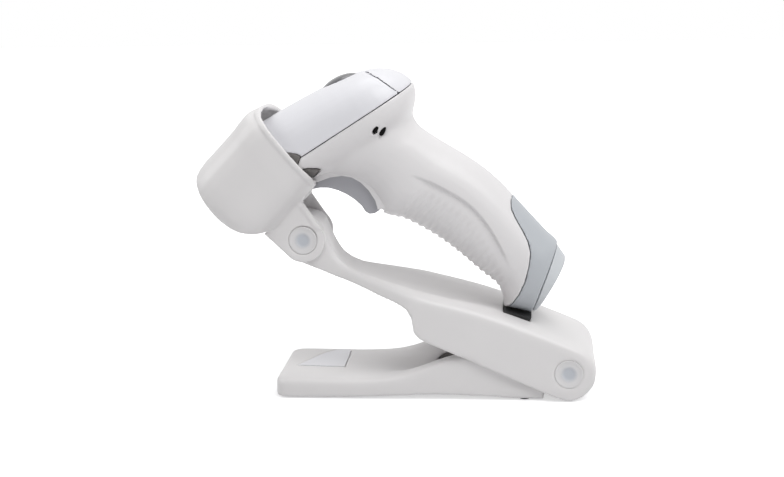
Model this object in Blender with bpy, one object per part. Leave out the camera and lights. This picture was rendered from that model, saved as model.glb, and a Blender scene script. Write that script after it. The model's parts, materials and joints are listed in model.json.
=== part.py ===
"""Handheld microchip scanner seated in a folding hands-free stand.

Metres, +Z up, the nose of the scanner towards -X, the stand symmetric about Y = 0.
The chain of frames is base, arm, cup and scanner. Each frame is an empty on its own
joint axis, and every piece is drawn in the frame of the body that carries it.
Outlines are lists of percentages of the driving dimensions named above them.
"""
import math

import bmesh
import bpy
from mathutils import Matrix, Vector

# ---------------------------------------------------------------- driving dimensions
FIT = 0.0003                  # gap between pieces that touch

# stand: the long arm
ARM_LENGTH = 0.163            # rear hinge to front hinge
ARM_TILT = math.radians(25.7)
ARM_WIDTH = 0.076
ARM_WALL = 0.0025
SIDE_GAP = 0.0005             # between the arm's walls and the base
ARM_END_RADIUS = 0.0152
NECK_WIDTH = 0.0280
KNUCKLE_RADIUS = 0.0131

# stand: the base
HINGE_HEIGHT = 0.0158         # rear hinge above the table
HINGE_FROM_MIDDLE = 0.0949
BASE_LENGTH = 0.1624          # front edge to rear hinge
BASE_WIDTH = ARM_WIDTH - 2 * (ARM_WALL + SIDE_GAP)
BASE_HEIGHT = 0.0118          # front pad above the table
BASE_FLOOR = 0.0008           # underside above the table, on its feet
CHEEK_RISE = 0.0153           # cheeks above the pad
BARREL_RADIUS = 0.0121
BALLAST_THICKNESS = 0.0045
BALLAST_LENGTH = 0.0440
BALLAST_WIDTH = 0.0540
COVER_THICKNESS = 0.0015
FOOT_RADIUS = 0.0030
FOOT_HEIGHT = 0.0020
INLAY_THICKNESS = 0.0010

# hinges
REAR_PIN_RADIUS = 0.0040
FRONT_PIN_RADIUS = 0.0032
CAP_RADIUS = 0.0077
CAP_THICKNESS = 0.0013
WASHER_THICKNESS = 0.0008

# stand: the cup
CUP_LENGTH = 0.0562           # rear rim to front edge
HEAD_WIDTH = 0.0704
HEAD_CLEARANCE = 0.0010       # between the head and the cup, on either side
CUP_DEPTH = 0.0552            # crown to floor
CUP_WALL = 0.0023
CUP_WIDTH = HEAD_WIDTH + 2 * (CUP_WALL + HEAD_CLEARANCE)
CUP_LEAN = math.radians(46.2)  # its axis below the horizontal
RIM_LIP = 0.0016
EAR_RADIUS = 0.0125
EAR_THICKNESS = 0.0044
HINGE_FROM_RIM = 0.0359
HINGE_FROM_CROWN = 0.0699

# scanner
HEAD_LENGTH = 0.0990          # nose to the back of the head
HEAD_ABOVE_SEAM = 0.0272
HEAD_BELOW_SEAM = 0.0220
HEAD_LEAN = math.radians(32.2)
GRIP_LENGTH = 0.1450          # seam to the lowest corner, square to the seam
GRIP_WIDTH = 0.0440
SHELL_WALL = 0.0024
SEAM_GAP = 0.0004
HEAD_FORWARD = 0.0608         # back of the seam from the front hinge, level
HEAD_UP = 0.0853              # back of the seam from the front hinge, upright
RIB_COUNT = 16
RIB_DEPTH = 0.0006
TUB_DEPTH = 0.0085            # floor of the electronics tub under the seam

# trigger
TRIGGER_WIDTH = 0.0220
TRIGGER_PULL = math.radians(4.5)
TRIGGER_PIN_RADIUS = 0.0012

# inside the scanner
BOARD_THICKNESS = 0.0016
BOARD_LENGTH = 0.0440
BOARD_WIDTH = 0.0400
ENGINE_LENGTH = 0.0180
ENGINE_WIDTH = 0.0280
ENGINE_HEIGHT = 0.0160
WINDOW_THICKNESS = 0.0015
WINDOW_WIDTH = 0.0460
WINDOW_HEIGHT = 0.0280
CELL_RADIUS = 0.0088
CELL_LENGTH = 0.0650

# ---------------------------------------------------------------- outlines, in per cent
# arm: along ARM_LENGTH; crest, trough depth and lower edge of ARM_END_RADIUS; breadth
# from the neck (0) to the full width (100)
ARM_STATIONS = [
    (6.0, 97, 2, -103, 100), (15.3, 90, 4, -107, 100), (24.5, 82, 8, -110, 100),
    (33.7, 71, 20, -114, 100), (42.9, 54, 31, -118, 100), (49.1, 40, 38, -120, 100),
    (51.8, 34, 39, -114, 100), (54.0, 29, 40, -91, 99), (56.0, 25, 40, -58, 98),
    (58.2, 20, 39, -43, 95), (61.3, 13, 38, -42, 85), (67.5, 0, 37, -51, 62),
    (73.6, -13, 33, -58, 40), (80.4, -25, 25, -68, 17), (84.7, -19, 17, -76, 6),
    (89.0, 3, 10, -80, 1), (92.6, 34, 5, -83, 0), (95.2, 61, 2, -85, 0)]
# base: along BASE_LENGTH from its front edge; top of the cheeks in CHEEK_RISE above the
# pad; trough in CHEEK_RISE; arch of the underside in millesimals of its length
BASE_STATIONS = [
    (0.0, -16, 2, 9), (0.4, -8, 2, 5), (1.3, -3, 2, 2), (2.6, 0, 3, 0), (8.0, 0, 5, 0),
    (22.0, -3, 6, 0), (33.0, -1, 10, 4), (39.5, 5, 22, 6), (45.0, 18, 42, 9),
    (50.0, 37, 64, 11), (56.5, 65, 96, 12), (61.7, 83, 118, 11), (72.0, 96, 134, 8),
    (84.0, 100, 138, 1), (91.6, 101, 138, 0)]
# cup: half section, breadth of CUP_WIDTH / 2 against depth of CUP_DEPTH
CUP_SECTION = [
    (0, 0), (22, 0.3), (44, 1.8), (62, 4.5), (77, 9.5), (89, 17.5), (96, 27), (99.5, 38),
    (100, 50), (99.8, 62), (98, 72), (93.5, 81), (84.5, 89), (69, 95.3), (48, 98.9),
    (24, 100), (0, 100)]
# cup seen from the side: along CUP_LENGTH and down CUP_DEPTH, the rim first
CUP_SIDE = [
    (-4.5, -20), (80, -20), (80, 0.6), (84.3, 2.0), (88.6, 5.2), (91.8, 10.5), (94.6, 19.0),
    (97.2, 29.5), (99.3, 41.5), (100, 53), (98.6, 64.5), (95, 74.8), (89.5, 84), (81.5, 92.5),
    (72, 98.5), (62, 101), (22, 101), (15.5, 99), (11.0, 95.5), (8.2, 90.5), (6.6, 84.5),
    (2.5, 50), (-2.0, 10)]
# rim of the cup: along CUP_LENGTH; dip of the crown and swell of the lip in RIM_LIP
RIM_STATIONS = [
    (-4.5, 190, 30), (0, 150, 45), (5, 80, 65), (10.5, 0, 80), (16, 0, 75), (22, 0, 55),
    (32, 0, 15), (45, 0, 0)]
# head: along HEAD_LENGTH from the back; half width of HEAD_WIDTH / 2; height above and
# below the seam
HEAD_STATIONS = [
    (0.7, 28, 11, 14), (2.0, 46, 24, 28), (5.0, 65, 41, 47), (10.0, 80, 58, 66),
    (16.0, 90, 70.5, 80), (22.5, 95.5, 78.5, 90), (31.0, 99, 84.5, 97),
    (44.5, 100, 92.5, 99), (55.0, 100, 96, 94), (64.0, 100, 98.5, 81), (70.0, 100, 99.5, 72),
    (76.0, 99.5, 100, 70), (84.0, 99, 100, 75), (92.0, 98, 100, 81), (97.5, 95.5, 96.5, 78),
    (100.0, 91, 90, 72)]
# grip rings: level of the ring, its front (x, z), its rear (x, z) and its half width;
# x runs back from the back of the seam and z down from it, in GRIP_LENGTH
GRIP_STATIONS = [
    (4.0, -47.0, 5.0, -7.0, 4.0, 128), (10.7, -46.2, 12.5, -6.9, 10.0, 124),
    (16.0, -41.4, 15.6, -7.0, 15.0, 115), (21.0, -37.4, 21.2, -5.5, 18.6, 108),
    (26.2, -36.3, 28.0, -3.8, 22.5, 103), (31.7, -37.4, 34.6, -1.1, 27.8, 101),
    (36.3, -32.6, 40.6, 1.0, 32.0, 99), (43.6, -27.8, 48.1, 4.3, 39.2, 97),
    (51.4, -23.8, 56.2, 6.9, 46.6, 96), (60.7, -20.4, 65.3, 9.0, 56.1, 96),
    (71.0, -17.4, 75.1, 10.9, 67.0, 98), (81.1, -14.5, 85.0, 12.8, 77.2, 101),
    (86.0, -15.6, 89.6, 13.9, 81.2, 102), (88.7, -16.9, 91.6, 13.9, 84.6, 102)]
GRIP_END = [(92.4, -13.2, 95.2, 14.0, 88.1, 101), (94.2, -8.6, 99.8, 13.5, 88.7, 99)]
# boundary of the grey lower cover and of the end cap, seen from the side
COVER_EDGE = [
    (12.5, 54.0), (10.4, 56.0), (7.8, 57.8), (6.4, 60.5), (6.0, 64.4), (5.9, 68.8),
    (5.5, 73.6), (4.1, 77.8), (0.9, 81.7), (-3.5, 85.9), (-8.1, 89.0), (-17.5, 93.4)]
END_EDGE = [(18.0, 78.6), (0.0, 91.8), (-16.0, 104.4)]
# trigger outline and its pocket in the housing, in the same units
TRIGGER_BACK = [
    (-53.2, 11.6), (-49.0, 11.0), (-44.2, 11.7), (-39.9, 14.0), (-36.8, 17.3),
    (-34.8, 21.5), (-34.0, 25.7), (-34.1, 30.1), (-35.2, 33.2)]
TRIGGER_FRONT = [
    (-36.6, 34.0), (-38.8, 34.0), (-40.6, 33.1), (-41.4, 31.4), (-41.4, 28.8),
    (-42.3, 25.4), (-43.8, 22.0), (-45.8, 18.9), (-48.4, 16.1), (-51.2, 14.3),
    (-53.6, 13.4), (-54.2, 12.5)]
TRIGGER_PIVOT = (-51.2, 11.0)
SWITCH_AT = (-41.4, 8.9)
POCKET_BACK = [
    (-55.5, 8.0), (-50.0, 7.0), (-44.0, 7.6), (-38.8, 9.8), (-34.6, 13.7), (-31.9, 19.0),
    (-30.9, 25.7), (-31.1, 30.7), (-33.0, 34.8), (-36.8, 35.8)]
# tip of the grip, which stands in the seat of the arm
GRIP_TOE = (-16.9, 91.9)
GRIP_HEEL = (-8.6, 99.8)
GRIP_BACK_CORNER = (13.5, 88.7)


# ---------------------------------------------------------------- making pieces
for old in list(bpy.data.objects):
    bpy.data.objects.remove(old, do_unlink=True)

part = bpy.data.collections.new("microchip_scanner")
cutters = bpy.data.collections.new("cutters")
bpy.context.scene.collection.children.link(part)
bpy.context.scene.collection.children.link(cutters)


def material(name, colour, roughness=0.5, metallic=0.0):
    surface = bpy.data.materials.new(name)
    surface.use_nodes = True
    shader = surface.node_tree.nodes["Principled BSDF"]
    shader.inputs["Base Color"].default_value = (*colour, 1.0)
    shader.inputs["Roughness"].default_value = roughness
    shader.inputs["Metallic"].default_value = metallic
    return surface


def frame(name, parent=None, location=(0, 0, 0), turn=0.0):
    """Empty at a joint or datum, turned about Y."""
    empty = bpy.data.objects.new(name, None)
    empty.empty_display_size = 0.02
    empty.parent = parent
    empty.location = location
    empty.rotation_euler = (0.0, turn, 0.0)
    part.objects.link(empty)
    return empty


def place(name, mesh, parent, surface=None, smooth=40.0):
    """Object of a mesh in a frame; without a surface it is a cutter."""
    piece = bpy.data.objects.new(name, mesh)
    piece.parent = parent
    mesh.shade_smooth()
    mesh.set_sharp_from_angle(angle=math.radians(smooth))
    if surface is None:
        piece.hide_render = True
        piece.display_type = "WIRE"
        cutters.objects.link(piece)
    else:
        mesh.materials.append(surface)
        part.objects.link(piece)
    return piece


def mesh_of(name, shape):
    mesh = bpy.data.meshes.new(name)
    shape.to_mesh(mesh)
    shape.free()
    return mesh


def loft(name, rings, parent, surface=None, smooth=40.0):
    """Closed solid through rings of equally many points."""
    shape = bmesh.new()
    rows = [[shape.verts.new(point) for point in ring] for ring in rings]
    for one, two in zip(rows, rows[1:]):
        for i, vert in enumerate(one):
            j = (i + 1) % len(one)
            shape.faces.new((vert, one[j], two[j], two[i]))
    shape.faces.new(rows[0][::-1])
    shape.faces.new(rows[-1])
    bmesh.ops.recalc_face_normals(shape, faces=shape.faces[:])
    return place(name, mesh_of(name, shape), parent, surface, smooth)


def box(name, lower, upper, parent, surface=None, rounded=0.0):
    """Block between two corners, with its edges rounded if asked."""
    shape = bmesh.new()
    bmesh.ops.create_cube(shape, size=1.0)
    size = [high - low for low, high in zip(lower, upper)]
    middle = [(high + low) / 2 for low, high in zip(lower, upper)]
    bmesh.ops.scale(shape, vec=size, verts=shape.verts[:])
    bmesh.ops.translate(shape, vec=middle, verts=shape.verts[:])
    if rounded:
        bmesh.ops.bevel(shape, geom=shape.edges[:], offset=rounded, segments=2,
                        profile=0.5, affect="EDGES")
    return place(name, mesh_of(name, shape), parent, surface)


def rod(name, radius, start, end, parent, surface=None, sides=32, rounded=0.0):
    """Round bar between two points."""
    start, end = Vector(start), Vector(end)
    axis = end - start
    shape = bmesh.new()
    bmesh.ops.create_cone(shape, cap_ends=True, segments=sides, radius1=radius,
                          radius2=radius, depth=axis.length)
    if rounded:
        rim = [edge for edge in shape.edges
               if abs(edge.verts[0].co.z - edge.verts[1].co.z) < FIT]
        bmesh.ops.bevel(shape, geom=rim, offset=rounded, segments=2, profile=0.5,
                        affect="EDGES")
    turn = Vector((0, 0, 1)).rotation_difference(axis.normalized()).to_matrix().to_4x4()
    bmesh.ops.transform(shape, matrix=Matrix.Translation((start + end) / 2) @ turn,
                        verts=shape.verts[:])
    return place(name, mesh_of(name, shape), parent, surface)


def plate(name, outline, low, high, parent, surface=None, rounded=0.0):
    """Flat outline in X and Z, extruded from low to high along Y."""
    curve = bpy.data.curves.new(name, "CURVE")
    curve.dimensions = "2D"
    curve.fill_mode = "BOTH"
    curve.extrude = (high - low) / 2
    spline = curve.splines.new("POLY")
    spline.points.add(len(outline) - 1)
    for point, (x, z) in zip(spline.points, outline):
        point.co = (x, z, 0.0, 1.0)
    spline.use_cyclic_u = True
    guide = bpy.data.objects.new(name, curve)
    part.objects.link(guide)
    bpy.context.view_layer.update()
    drawn = guide.evaluated_get(bpy.context.evaluated_depsgraph_get())
    mesh = bpy.data.meshes.new_from_object(drawn)
    bpy.data.objects.remove(guide)
    shape = bmesh.new()
    shape.from_mesh(mesh)
    bmesh.ops.remove_doubles(shape, verts=shape.verts[:], dist=0.00001)
    stand = Matrix(((1, 0, 0, 0), (0, 0, 1, (low + high) / 2), (0, 1, 0, 0), (0, 0, 0, 1)))
    bmesh.ops.transform(shape, matrix=stand, verts=shape.verts[:])
    bmesh.ops.recalc_face_normals(shape, faces=shape.faces[:])
    if rounded:
        flat = [edge for edge in shape.edges if len(edge.link_faces) == 2
                and edge.calc_face_angle(0) > math.radians(60)
                and abs(edge.verts[0].co.y - edge.verts[1].co.y) < FIT]
        bmesh.ops.bevel(shape, geom=flat, offset=rounded, segments=2, profile=0.5,
                        affect="EDGES")
    shape.to_mesh(mesh)
    shape.free()
    return place(name, mesh, parent, surface)


def combine(piece, tools, operation="DIFFERENCE"):
    """Cut, join or crop a piece by closed tools."""
    for tool in tools:
        change = piece.modifiers.new(tool.name, "BOOLEAN")
        change.operation = operation
        change.solver = "EXACT"
        change.object = tool
    return piece


# ---------------------------------------------------------------- drawing outlines
def between(table, along):
    """Row of a table at a place along it, on a smooth curve through its rows."""
    i = 0
    while i < len(table) - 2 and along > table[i + 1][0]:
        i += 1
    low, high = table[i], table[i + 1]
    span = high[0] - low[0]
    t = min(max((along - low[0]) / span, 0.0), 1.0)

    def slope(k, column):
        if k == 0 or k == len(table) - 1:
            one, two = (0, 1) if k == 0 else (k - 1, k)
            return (table[two][column] - table[one][column]) / (table[two][0] - table[one][0])
        before, here, after = table[k - 1], table[k], table[k + 1]
        left = (here[column] - before[column]) / (here[0] - before[0])
        right = (after[column] - here[column]) / (after[0] - here[0])
        return 2 * left * right / (left + right) if left * right > 0 else 0.0

    row = [along]
    for column in range(1, len(low)):
        start, end = slope(i, column) * span, slope(i + 1, column) * span
        row.append((2 * t**3 - 3 * t**2 + 1) * low[column] + (t**3 - 2 * t**2 + t) * start
                   + (3 * t**2 - 2 * t**3) * high[column] + (t**3 - t**2) * end)
    return row


def spaced(first, last, count):
    return [first + (last - first) * i / (count - 1) for i in range(count)]


def arc(centre, radius, start, end, count):
    """Points of an arc in X and Z, angles in degrees from +X towards +Z."""
    return [(centre[0] + radius * math.cos(math.radians(angle)),
             centre[1] + radius * math.sin(math.radians(angle)))
            for angle in spaced(start, end, count)]


def shifted(line, distance):
    """Line moved sideways by a distance, to its right hand."""
    moved = []
    for i, (x, z) in enumerate(line):
        x0, z0 = line[max(i - 1, 0)]
        x1, z1 = line[min(i + 1, len(line) - 1)]
        length = math.hypot(x1 - x0, z1 - z0)
        moved.append((x + (z1 - z0) / length * distance, z - (x1 - x0) / length * distance))
    return moved


def trough_ring(x, half, crest, depth, low, crest_at, edge, flip=1.0):
    """Section of a rail: flat sides, rounded shoulders and a trough between them."""
    shoulder = crest - edge
    side = [(half, low), (half, (low + shoulder) / 2), (half, shoulder)]
    for angle in (30, 60):
        a = math.radians(angle)
        side.append((half - edge * 0.8 * (1 - math.cos(a)), shoulder + edge * 0.8 * math.sin(a)))
    side.append(((half + crest_at) / 2, crest - edge * 0.05))
    for part_way in (1.0, 0.8, 0.55, 0.28):
        sink = depth * (1 + math.cos(math.pi * part_way)) / 2
        side.append((crest_at * part_way, crest - sink))
    whole = side + [(0.0, crest - depth)] + [(-y, z) for y, z in reversed(side)]
    return [(flip * x, y, z) for y, z in whole]


def slanted_oval(centre, long, short, degrees):
    """Oval outline in X and Z, its long axis turned up from +X."""
    turn = math.radians(degrees)
    outline = []
    for step in range(16):
        a = 2 * math.pi * step / 16
        u, v = long * math.cos(a), short * math.sin(a)
        outline.append((centre[0] + u * math.cos(turn) - v * math.sin(turn),
                        centre[1] + u * math.sin(turn) + v * math.cos(turn)))
    return outline


def oval(half, up, down, upper_power, lower_power, count):
    """Rounded section with its widest place at height zero, as (y, z)."""
    points = []
    for i in range(count):
        angle = 2 * math.pi * i / count
        c, s = math.cos(angle), math.sin(angle)
        power = upper_power if s >= 0 else lower_power
        height = up if s >= 0 else down
        y = half * math.copysign(abs(c) ** (2 / power), c)
        z = height * math.copysign(abs(s) ** (2 / power), s)
        points.append((y, z))
    return points


# ---------------------------------------------------------------- surfaces
WHITE = material("white_plastic", (0.86, 0.86, 0.88), 0.45)
COVER_WHITE = material("white_cover", (0.87, 0.87, 0.9), 0.4)
COOL_GREY = material("cool_grey_plastic", (0.52, 0.56, 0.6), 0.5)
PALE_GREY = material("pale_grey_plastic", (0.66, 0.7, 0.74), 0.5)
CAP_GREY = material("cap_white", (0.8, 0.81, 0.84), 0.5)
SOFT_BLACK = material("black_rubber", (0.02, 0.02, 0.02), 0.85)
SMOKE = material("smoked_plastic", (0.08, 0.08, 0.09), 0.2)
STEEL = material("steel", (0.6, 0.6, 0.62), 0.3, 1.0)
GOLD = material("gold_contact", (0.8, 0.62, 0.25), 0.3, 1.0)
BOARD_GREEN = material("board", (0.05, 0.25, 0.12), 0.5)
ENGINE_BLACK = material("engine_black", (0.03, 0.03, 0.035), 0.5)
GLASS = material("clear_window", (0.35, 0.05, 0.06), 0.1)
CELL_WRAP = material("cell_wrap", (0.1, 0.2, 0.45), 0.4)
WASHER_GREY = material("washer_nylon", (0.5, 0.5, 0.5), 0.6)

# ---------------------------------------------------------------- frames
base_frame = frame("base_frame")
arm_frame = frame("arm_frame", base_frame, (HINGE_FROM_MIDDLE, 0.0, HINGE_HEIGHT), ARM_TILT)
cup_frame = frame("cup_frame", arm_frame, (-ARM_LENGTH, 0.0, 0.0), -ARM_TILT)
scanner_frame = frame("scanner_frame", cup_frame, (HEAD_FORWARD, 0.0, HEAD_UP), -HEAD_LEAN)


def grip_point(point):
    """Place in the scanner's frame of a point given in per cent of the grip."""
    return (point[0] * GRIP_LENGTH / 100, -point[1] * GRIP_LENGTH / 100)


pivot = grip_point(TRIGGER_PIVOT)
trigger_frame = frame("trigger_frame", scanner_frame, (pivot[0], 0.0, pivot[1]))


def scanner_in_arm(point):
    """Point of the scanner's side view, as (along, height) on the arm."""
    turn = HEAD_LEAN
    x = HEAD_FORWARD + point[0] * math.cos(turn) - point[1] * math.sin(turn)
    z = HEAD_UP + point[0] * math.sin(turn) + point[1] * math.cos(turn)
    along = ARM_LENGTH - (x * math.cos(ARM_TILT) - z * math.sin(ARM_TILT))
    return along, x * math.sin(ARM_TILT) + z * math.cos(ARM_TILT)


# ---------------------------------------------------------------- stand: base
def base_ring(along):
    row = between(BASE_STATIONS, along)
    front = row[0] / 100 * BASE_LENGTH
    corner = min(front / BASE_HEIGHT, 0.5)
    pinch = BASE_HEIGHT / 2 * (1 - math.sqrt(1 - (1 - 2 * corner) ** 2))
    crest = BASE_HEIGHT + row[1] / 100 * CHEEK_RISE
    depth = row[2] / 100 * CHEEK_RISE
    low = BASE_FLOOR + row[3] / 1000 * BASE_LENGTH
    x = HINGE_FROM_MIDDLE - BASE_LENGTH + front
    half = BASE_WIDTH / 2 - pinch
    return trough_ring(x, half, crest, depth, low, half * 0.84, BASE_HEIGHT / 4)


def base_rings(last, count):
    ends = [0.0, 0.35, 1.2, 2.4, 4.0]
    return [base_ring(along) for along in ends + spaced(8.0, last, count)]


def make_base():
    base = loft("stand_base", base_rings(91.6, 17), base_frame, WHITE)
    hinge = (HINGE_FROM_MIDDLE, HINGE_HEIGHT)
    reach = BASE_WIDTH / 2 - WASHER_THICKNESS - FIT
    barrel = rod("barrel_shape", BARREL_RADIUS, (hinge[0], -reach, hinge[1]),
                 (hinge[0], reach, hinge[1]), base_frame, sides=48)
    web = box("barrel_web", (hinge[0] - BARREL_RADIUS * 1.2, -reach, BASE_FLOOR * 6),
              (hinge[0], reach, hinge[1] + BARREL_RADIUS * 0.8), base_frame)
    combine(base, [barrel, web], "UNION")
    bore = rod("barrel_bore", REAR_PIN_RADIUS + FIT, (hinge[0], -BASE_WIDTH, hinge[1]),
               (hinge[0], BASE_WIDTH, hinge[1]), base_frame)
    combine(base, [bore])
    return base


def make_underside(base):
    """Ballast and its cover in a pocket under the pad, and four feet."""
    front = HINGE_FROM_MIDDLE - BASE_LENGTH
    start = front + 1.3 * BASE_HEIGHT
    end = start + BALLAST_LENGTH
    half = BALLAST_WIDTH / 2
    below = -BASE_FLOOR
    top = BASE_FLOOR + COVER_THICKNESS + BALLAST_THICKNESS + FIT
    ledge = 2 * COVER_THICKNESS
    pocket = box("ballast_pocket", (start - FIT, -half - FIT, below),
                 (end + FIT, half + FIT, top + FIT), base_frame)
    recess = box("cover_recess", (start - ledge - FIT, -half - ledge - FIT, below),
                 (end + ledge + FIT, half + ledge + FIT, BASE_FLOOR + COVER_THICKNESS + FIT),
                 base_frame)
    combine(base, [pocket, recess])
    box("ballast_plate", (start, -half, BASE_FLOOR + COVER_THICKNESS + FIT), (end, half, top),
        base_frame, STEEL, COVER_THICKNESS / 4)
    cover = box("base_cover", (start - ledge, -half - ledge, BASE_FLOOR),
                (end + ledge, half + ledge, BASE_FLOOR + COVER_THICKNESS), base_frame, COOL_GREY)
    screw_at = ledge / 2
    screw_radius = ledge * 0.3
    for number, (x, y) in enumerate([(start - screw_at, -half / 2), (start - screw_at, half / 2),
                                     (end + screw_at, -half / 2), (end + screw_at, half / 2)]):
        hole = rod("cover_hole_%d" % number, screw_radius * 0.55, (x, y, below),
                   (x, y, BASE_FLOOR + COVER_THICKNESS + BALLAST_THICKNESS), base_frame, sides=16)
        head = rod("cover_head_%d" % number, screw_radius + FIT, (x, y, below),
                   (x, y, BASE_FLOOR + COVER_THICKNESS * 0.6), base_frame, sides=20)
        combine(cover, [hole, head])
        combine(base, [hole])
    edge = FOOT_RADIUS + ARM_WALL
    foot_x = [front + edge, HINGE_FROM_MIDDLE - 2.0 * BARREL_RADIUS]
    foot_y = [BASE_WIDTH / 2 - 1.5 * edge, BASE_WIDTH / 2 - edge]
    names = ["foot_front_left", "foot_front_right", "foot_rear_left", "foot_rear_right"]
    places = [(foot_x[0], -foot_y[0]), (foot_x[0], foot_y[0]), (foot_x[1], -foot_y[1]),
              (foot_x[1], foot_y[1])]
    for name, (x, y) in zip(names, places):
        socket = rod(name + "_socket", FOOT_RADIUS + FIT, (x, y, below),
                     (x, y, FOOT_HEIGHT + FIT), base_frame)
        combine(base, [socket])
        rod(name, FOOT_RADIUS, (x, y, 0.0), (x, y, FOOT_HEIGHT), base_frame, SOFT_BLACK,
            sides=20, rounded=FOOT_HEIGHT / 8)
    return base


def make_inlay(base):
    """Bare sail-shaped plate let flush into the pad, with its rounded corner to the rear."""
    front = HINGE_FROM_MIDDLE - BASE_LENGTH
    reach = BALLAST_LENGTH * 0.61
    width = BALLAST_WIDTH * 0.65
    start = front + BASE_HEIGHT * 0.72
    radius = BASE_HEIGHT * 0.3
    outline = [(start, 0.0)]
    for step in range(1, 9):
        share = step / 9
        outline.append((start + (reach - radius) * share, width * math.sin(math.pi / 2 * share)))
    outline += arc((start + reach - radius, width - radius), radius, 90, 0, 5)
    outline += [(start + reach, 0.0)]
    top = BASE_HEIGHT

    def tablet(name, grow, low, high):
        middle_x = start + reach / 2
        grown = [(middle_x + (x - middle_x) * grow, width * 0.36 + (y - width / 2) * grow)
                 for x, y in outline]
        piece = plate(name, grown, low, high, base_frame)
        lay_flat = Matrix(((1, 0, 0, 0), (0, 0, 1, 0), (0, 1, 0, 0), (0, 0, 0, 1)))
        piece.data.transform(lay_flat)
        piece.data.flip_normals()
        return piece

    seat = top - BASE_HEIGHT * 0.06 - INLAY_THICKNESS
    clear = 1 + 2.6 * FIT / reach
    combine(base, [tablet("inlay_recess", clear, seat, 2 * top)])
    inlay = loft("base_inlay", base_rings(33.0, 6), base_frame, COVER_WHITE)
    combine(inlay, [tablet("inlay_shape", 1.0, seat + FIT, 2 * top)], "INTERSECT")
    return inlay


def make_plug(base):
    """Black plug in an oval hole in the far slope of the trough."""
    centre = (HINGE_FROM_MIDDLE - BASE_LENGTH * 0.42, BASE_HEIGHT)
    long, short = BASE_LENGTH * 0.04, BASE_HEIGHT * 0.16
    face = BASE_WIDTH * 0.19
    depth = BASE_HEIGHT * 0.3
    hole = slanted_oval(centre, long + FIT, short + FIT, 15)
    combine(base, [plate("plug_hole", hole, BASE_WIDTH * 0.05, face + depth + FIT, base_frame)])
    return plate("slot_plug", slanted_oval(centre, long, short, 15), face, face + depth,
                 base_frame, SOFT_BLACK)


# ---------------------------------------------------------------- stand: arm
def arm_half(breadth):
    return (NECK_WIDTH + (ARM_WIDTH - NECK_WIDTH) * breadth / 100) / 2


def arm_ring(along, inset=0.0):
    """Section of the arm at a distance from the rear hinge; inset draws its hollow."""
    knuckle_top = ARM_LENGTH - KNUCKLE_RADIUS * 0.35
    first = ARM_STATIONS[0][0] / 100 * ARM_LENGTH
    last = ARM_STATIONS[-1][0] / 100 * ARM_LENGTH
    if along < first:
        row = list(ARM_STATIONS[0])
        back = min(along, 0.0)
        rise = math.sqrt(max(ARM_END_RADIUS**2 - back**2, 0.0))
        blend = max(along, 0.0) / first
        crest = rise * (1 - blend) + row[1] / 100 * ARM_END_RADIUS * blend
        low = -rise * (1 - blend) + row[3] / 100 * ARM_END_RADIUS * blend
        half = arm_half(row[4]) - ARM_END_RADIUS * 0.25 * (max(-along, 0) / ARM_END_RADIUS) ** 4
        depth = row[2] / 100 * ARM_END_RADIUS
    elif along > last:
        ahead = along - ARM_LENGTH
        rise = math.sqrt(max(KNUCKLE_RADIUS**2 - ahead**2, 0.0))
        row = list(ARM_STATIONS[-1])
        blend = min((along - last) / (knuckle_top - last), 1.0)
        crest = rise if along > knuckle_top else (
            row[1] / 100 * ARM_END_RADIUS * (1 - blend) + rise * blend)
        low = -rise if ahead > 0 else (row[3] / 100 * ARM_END_RADIUS * (1 - blend)
                                       - KNUCKLE_RADIUS * blend)
        half = arm_half(row[4])
        depth = row[2] / 100 * ARM_END_RADIUS * (1 - blend)
    else:
        row = between(ARM_STATIONS, along / ARM_LENGTH * 100)
        crest, low = row[1] / 100 * ARM_END_RADIUS, row[3] / 100 * ARM_END_RADIUS
        half = arm_half(row[4])
        depth = row[2] / 100 * ARM_END_RADIUS
    breadth = (half - NECK_WIDTH / 2) / (ARM_WIDTH - NECK_WIDTH) * 2
    crest_at = half * (0.86 - 0.12 * breadth)
    edge = min(ARM_END_RADIUS * 0.22, (crest - low) * 0.35)
    if inset:
        low -= ARM_END_RADIUS
        crest -= inset
        half -= inset * (1.0 if breadth > 0.5 else 1.3)
        crest_at = min(crest_at, half * 0.9)
    return trough_ring(along, half, crest, depth, low, crest_at, edge, flip=-1.0)


def make_arm():
    rear = [-ARM_END_RADIUS * math.sin(math.radians(a)) for a in (84, 70, 52, 34, 17)]
    front = [ARM_LENGTH + KNUCKLE_RADIUS * math.sin(math.radians(a)) for a in (18, 36, 54, 70, 84)]
    middle = spaced(0.0, ARM_LENGTH, 37)
    arm = loft("arm_shell", [arm_ring(a) for a in rear + middle + front], arm_frame, WHITE)
    hollow = loft("arm_hollow", [arm_ring(a, ARM_WALL) for a in
                                 spaced(0.0, ARM_LENGTH * 0.86, 22)], arm_frame)
    reach = ARM_WIDTH / 2 - ARM_WALL
    swing = rod("barrel_room", BARREL_RADIUS + FIT, (0, -reach, 0), (0, reach, 0), arm_frame,
                sides=48)
    mouth = box("rear_mouth", (0 - BARREL_RADIUS, -reach, -ARM_END_RADIUS * 1.5),
                (BARREL_RADIUS * 0.72, reach, -BARREL_RADIUS * 0.6), arm_frame)
    combine(arm, [hollow, swing, mouth])
    rear_bore = rod("arm_rear_bore", REAR_PIN_RADIUS + FIT, (0, -ARM_WIDTH, 0),
                    (0, ARM_WIDTH, 0), arm_frame)
    front_bore = rod("arm_front_bore", FRONT_PIN_RADIUS + FIT, (-ARM_LENGTH, -ARM_WIDTH, 0),
                     (-ARM_LENGTH, ARM_WIDTH, 0), arm_frame)
    combine(arm, [rear_bore, front_bore])
    for side in (-1, 1):
        seat = rod("rear_cap_seat_%d" % side, CAP_RADIUS + FIT,
                   (0, side * (ARM_WIDTH / 2 - CAP_THICKNESS - FIT), 0),
                   (0, side * ARM_WIDTH, 0), arm_frame, sides=40)
        combine(arm, [seat])
    return arm


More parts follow.
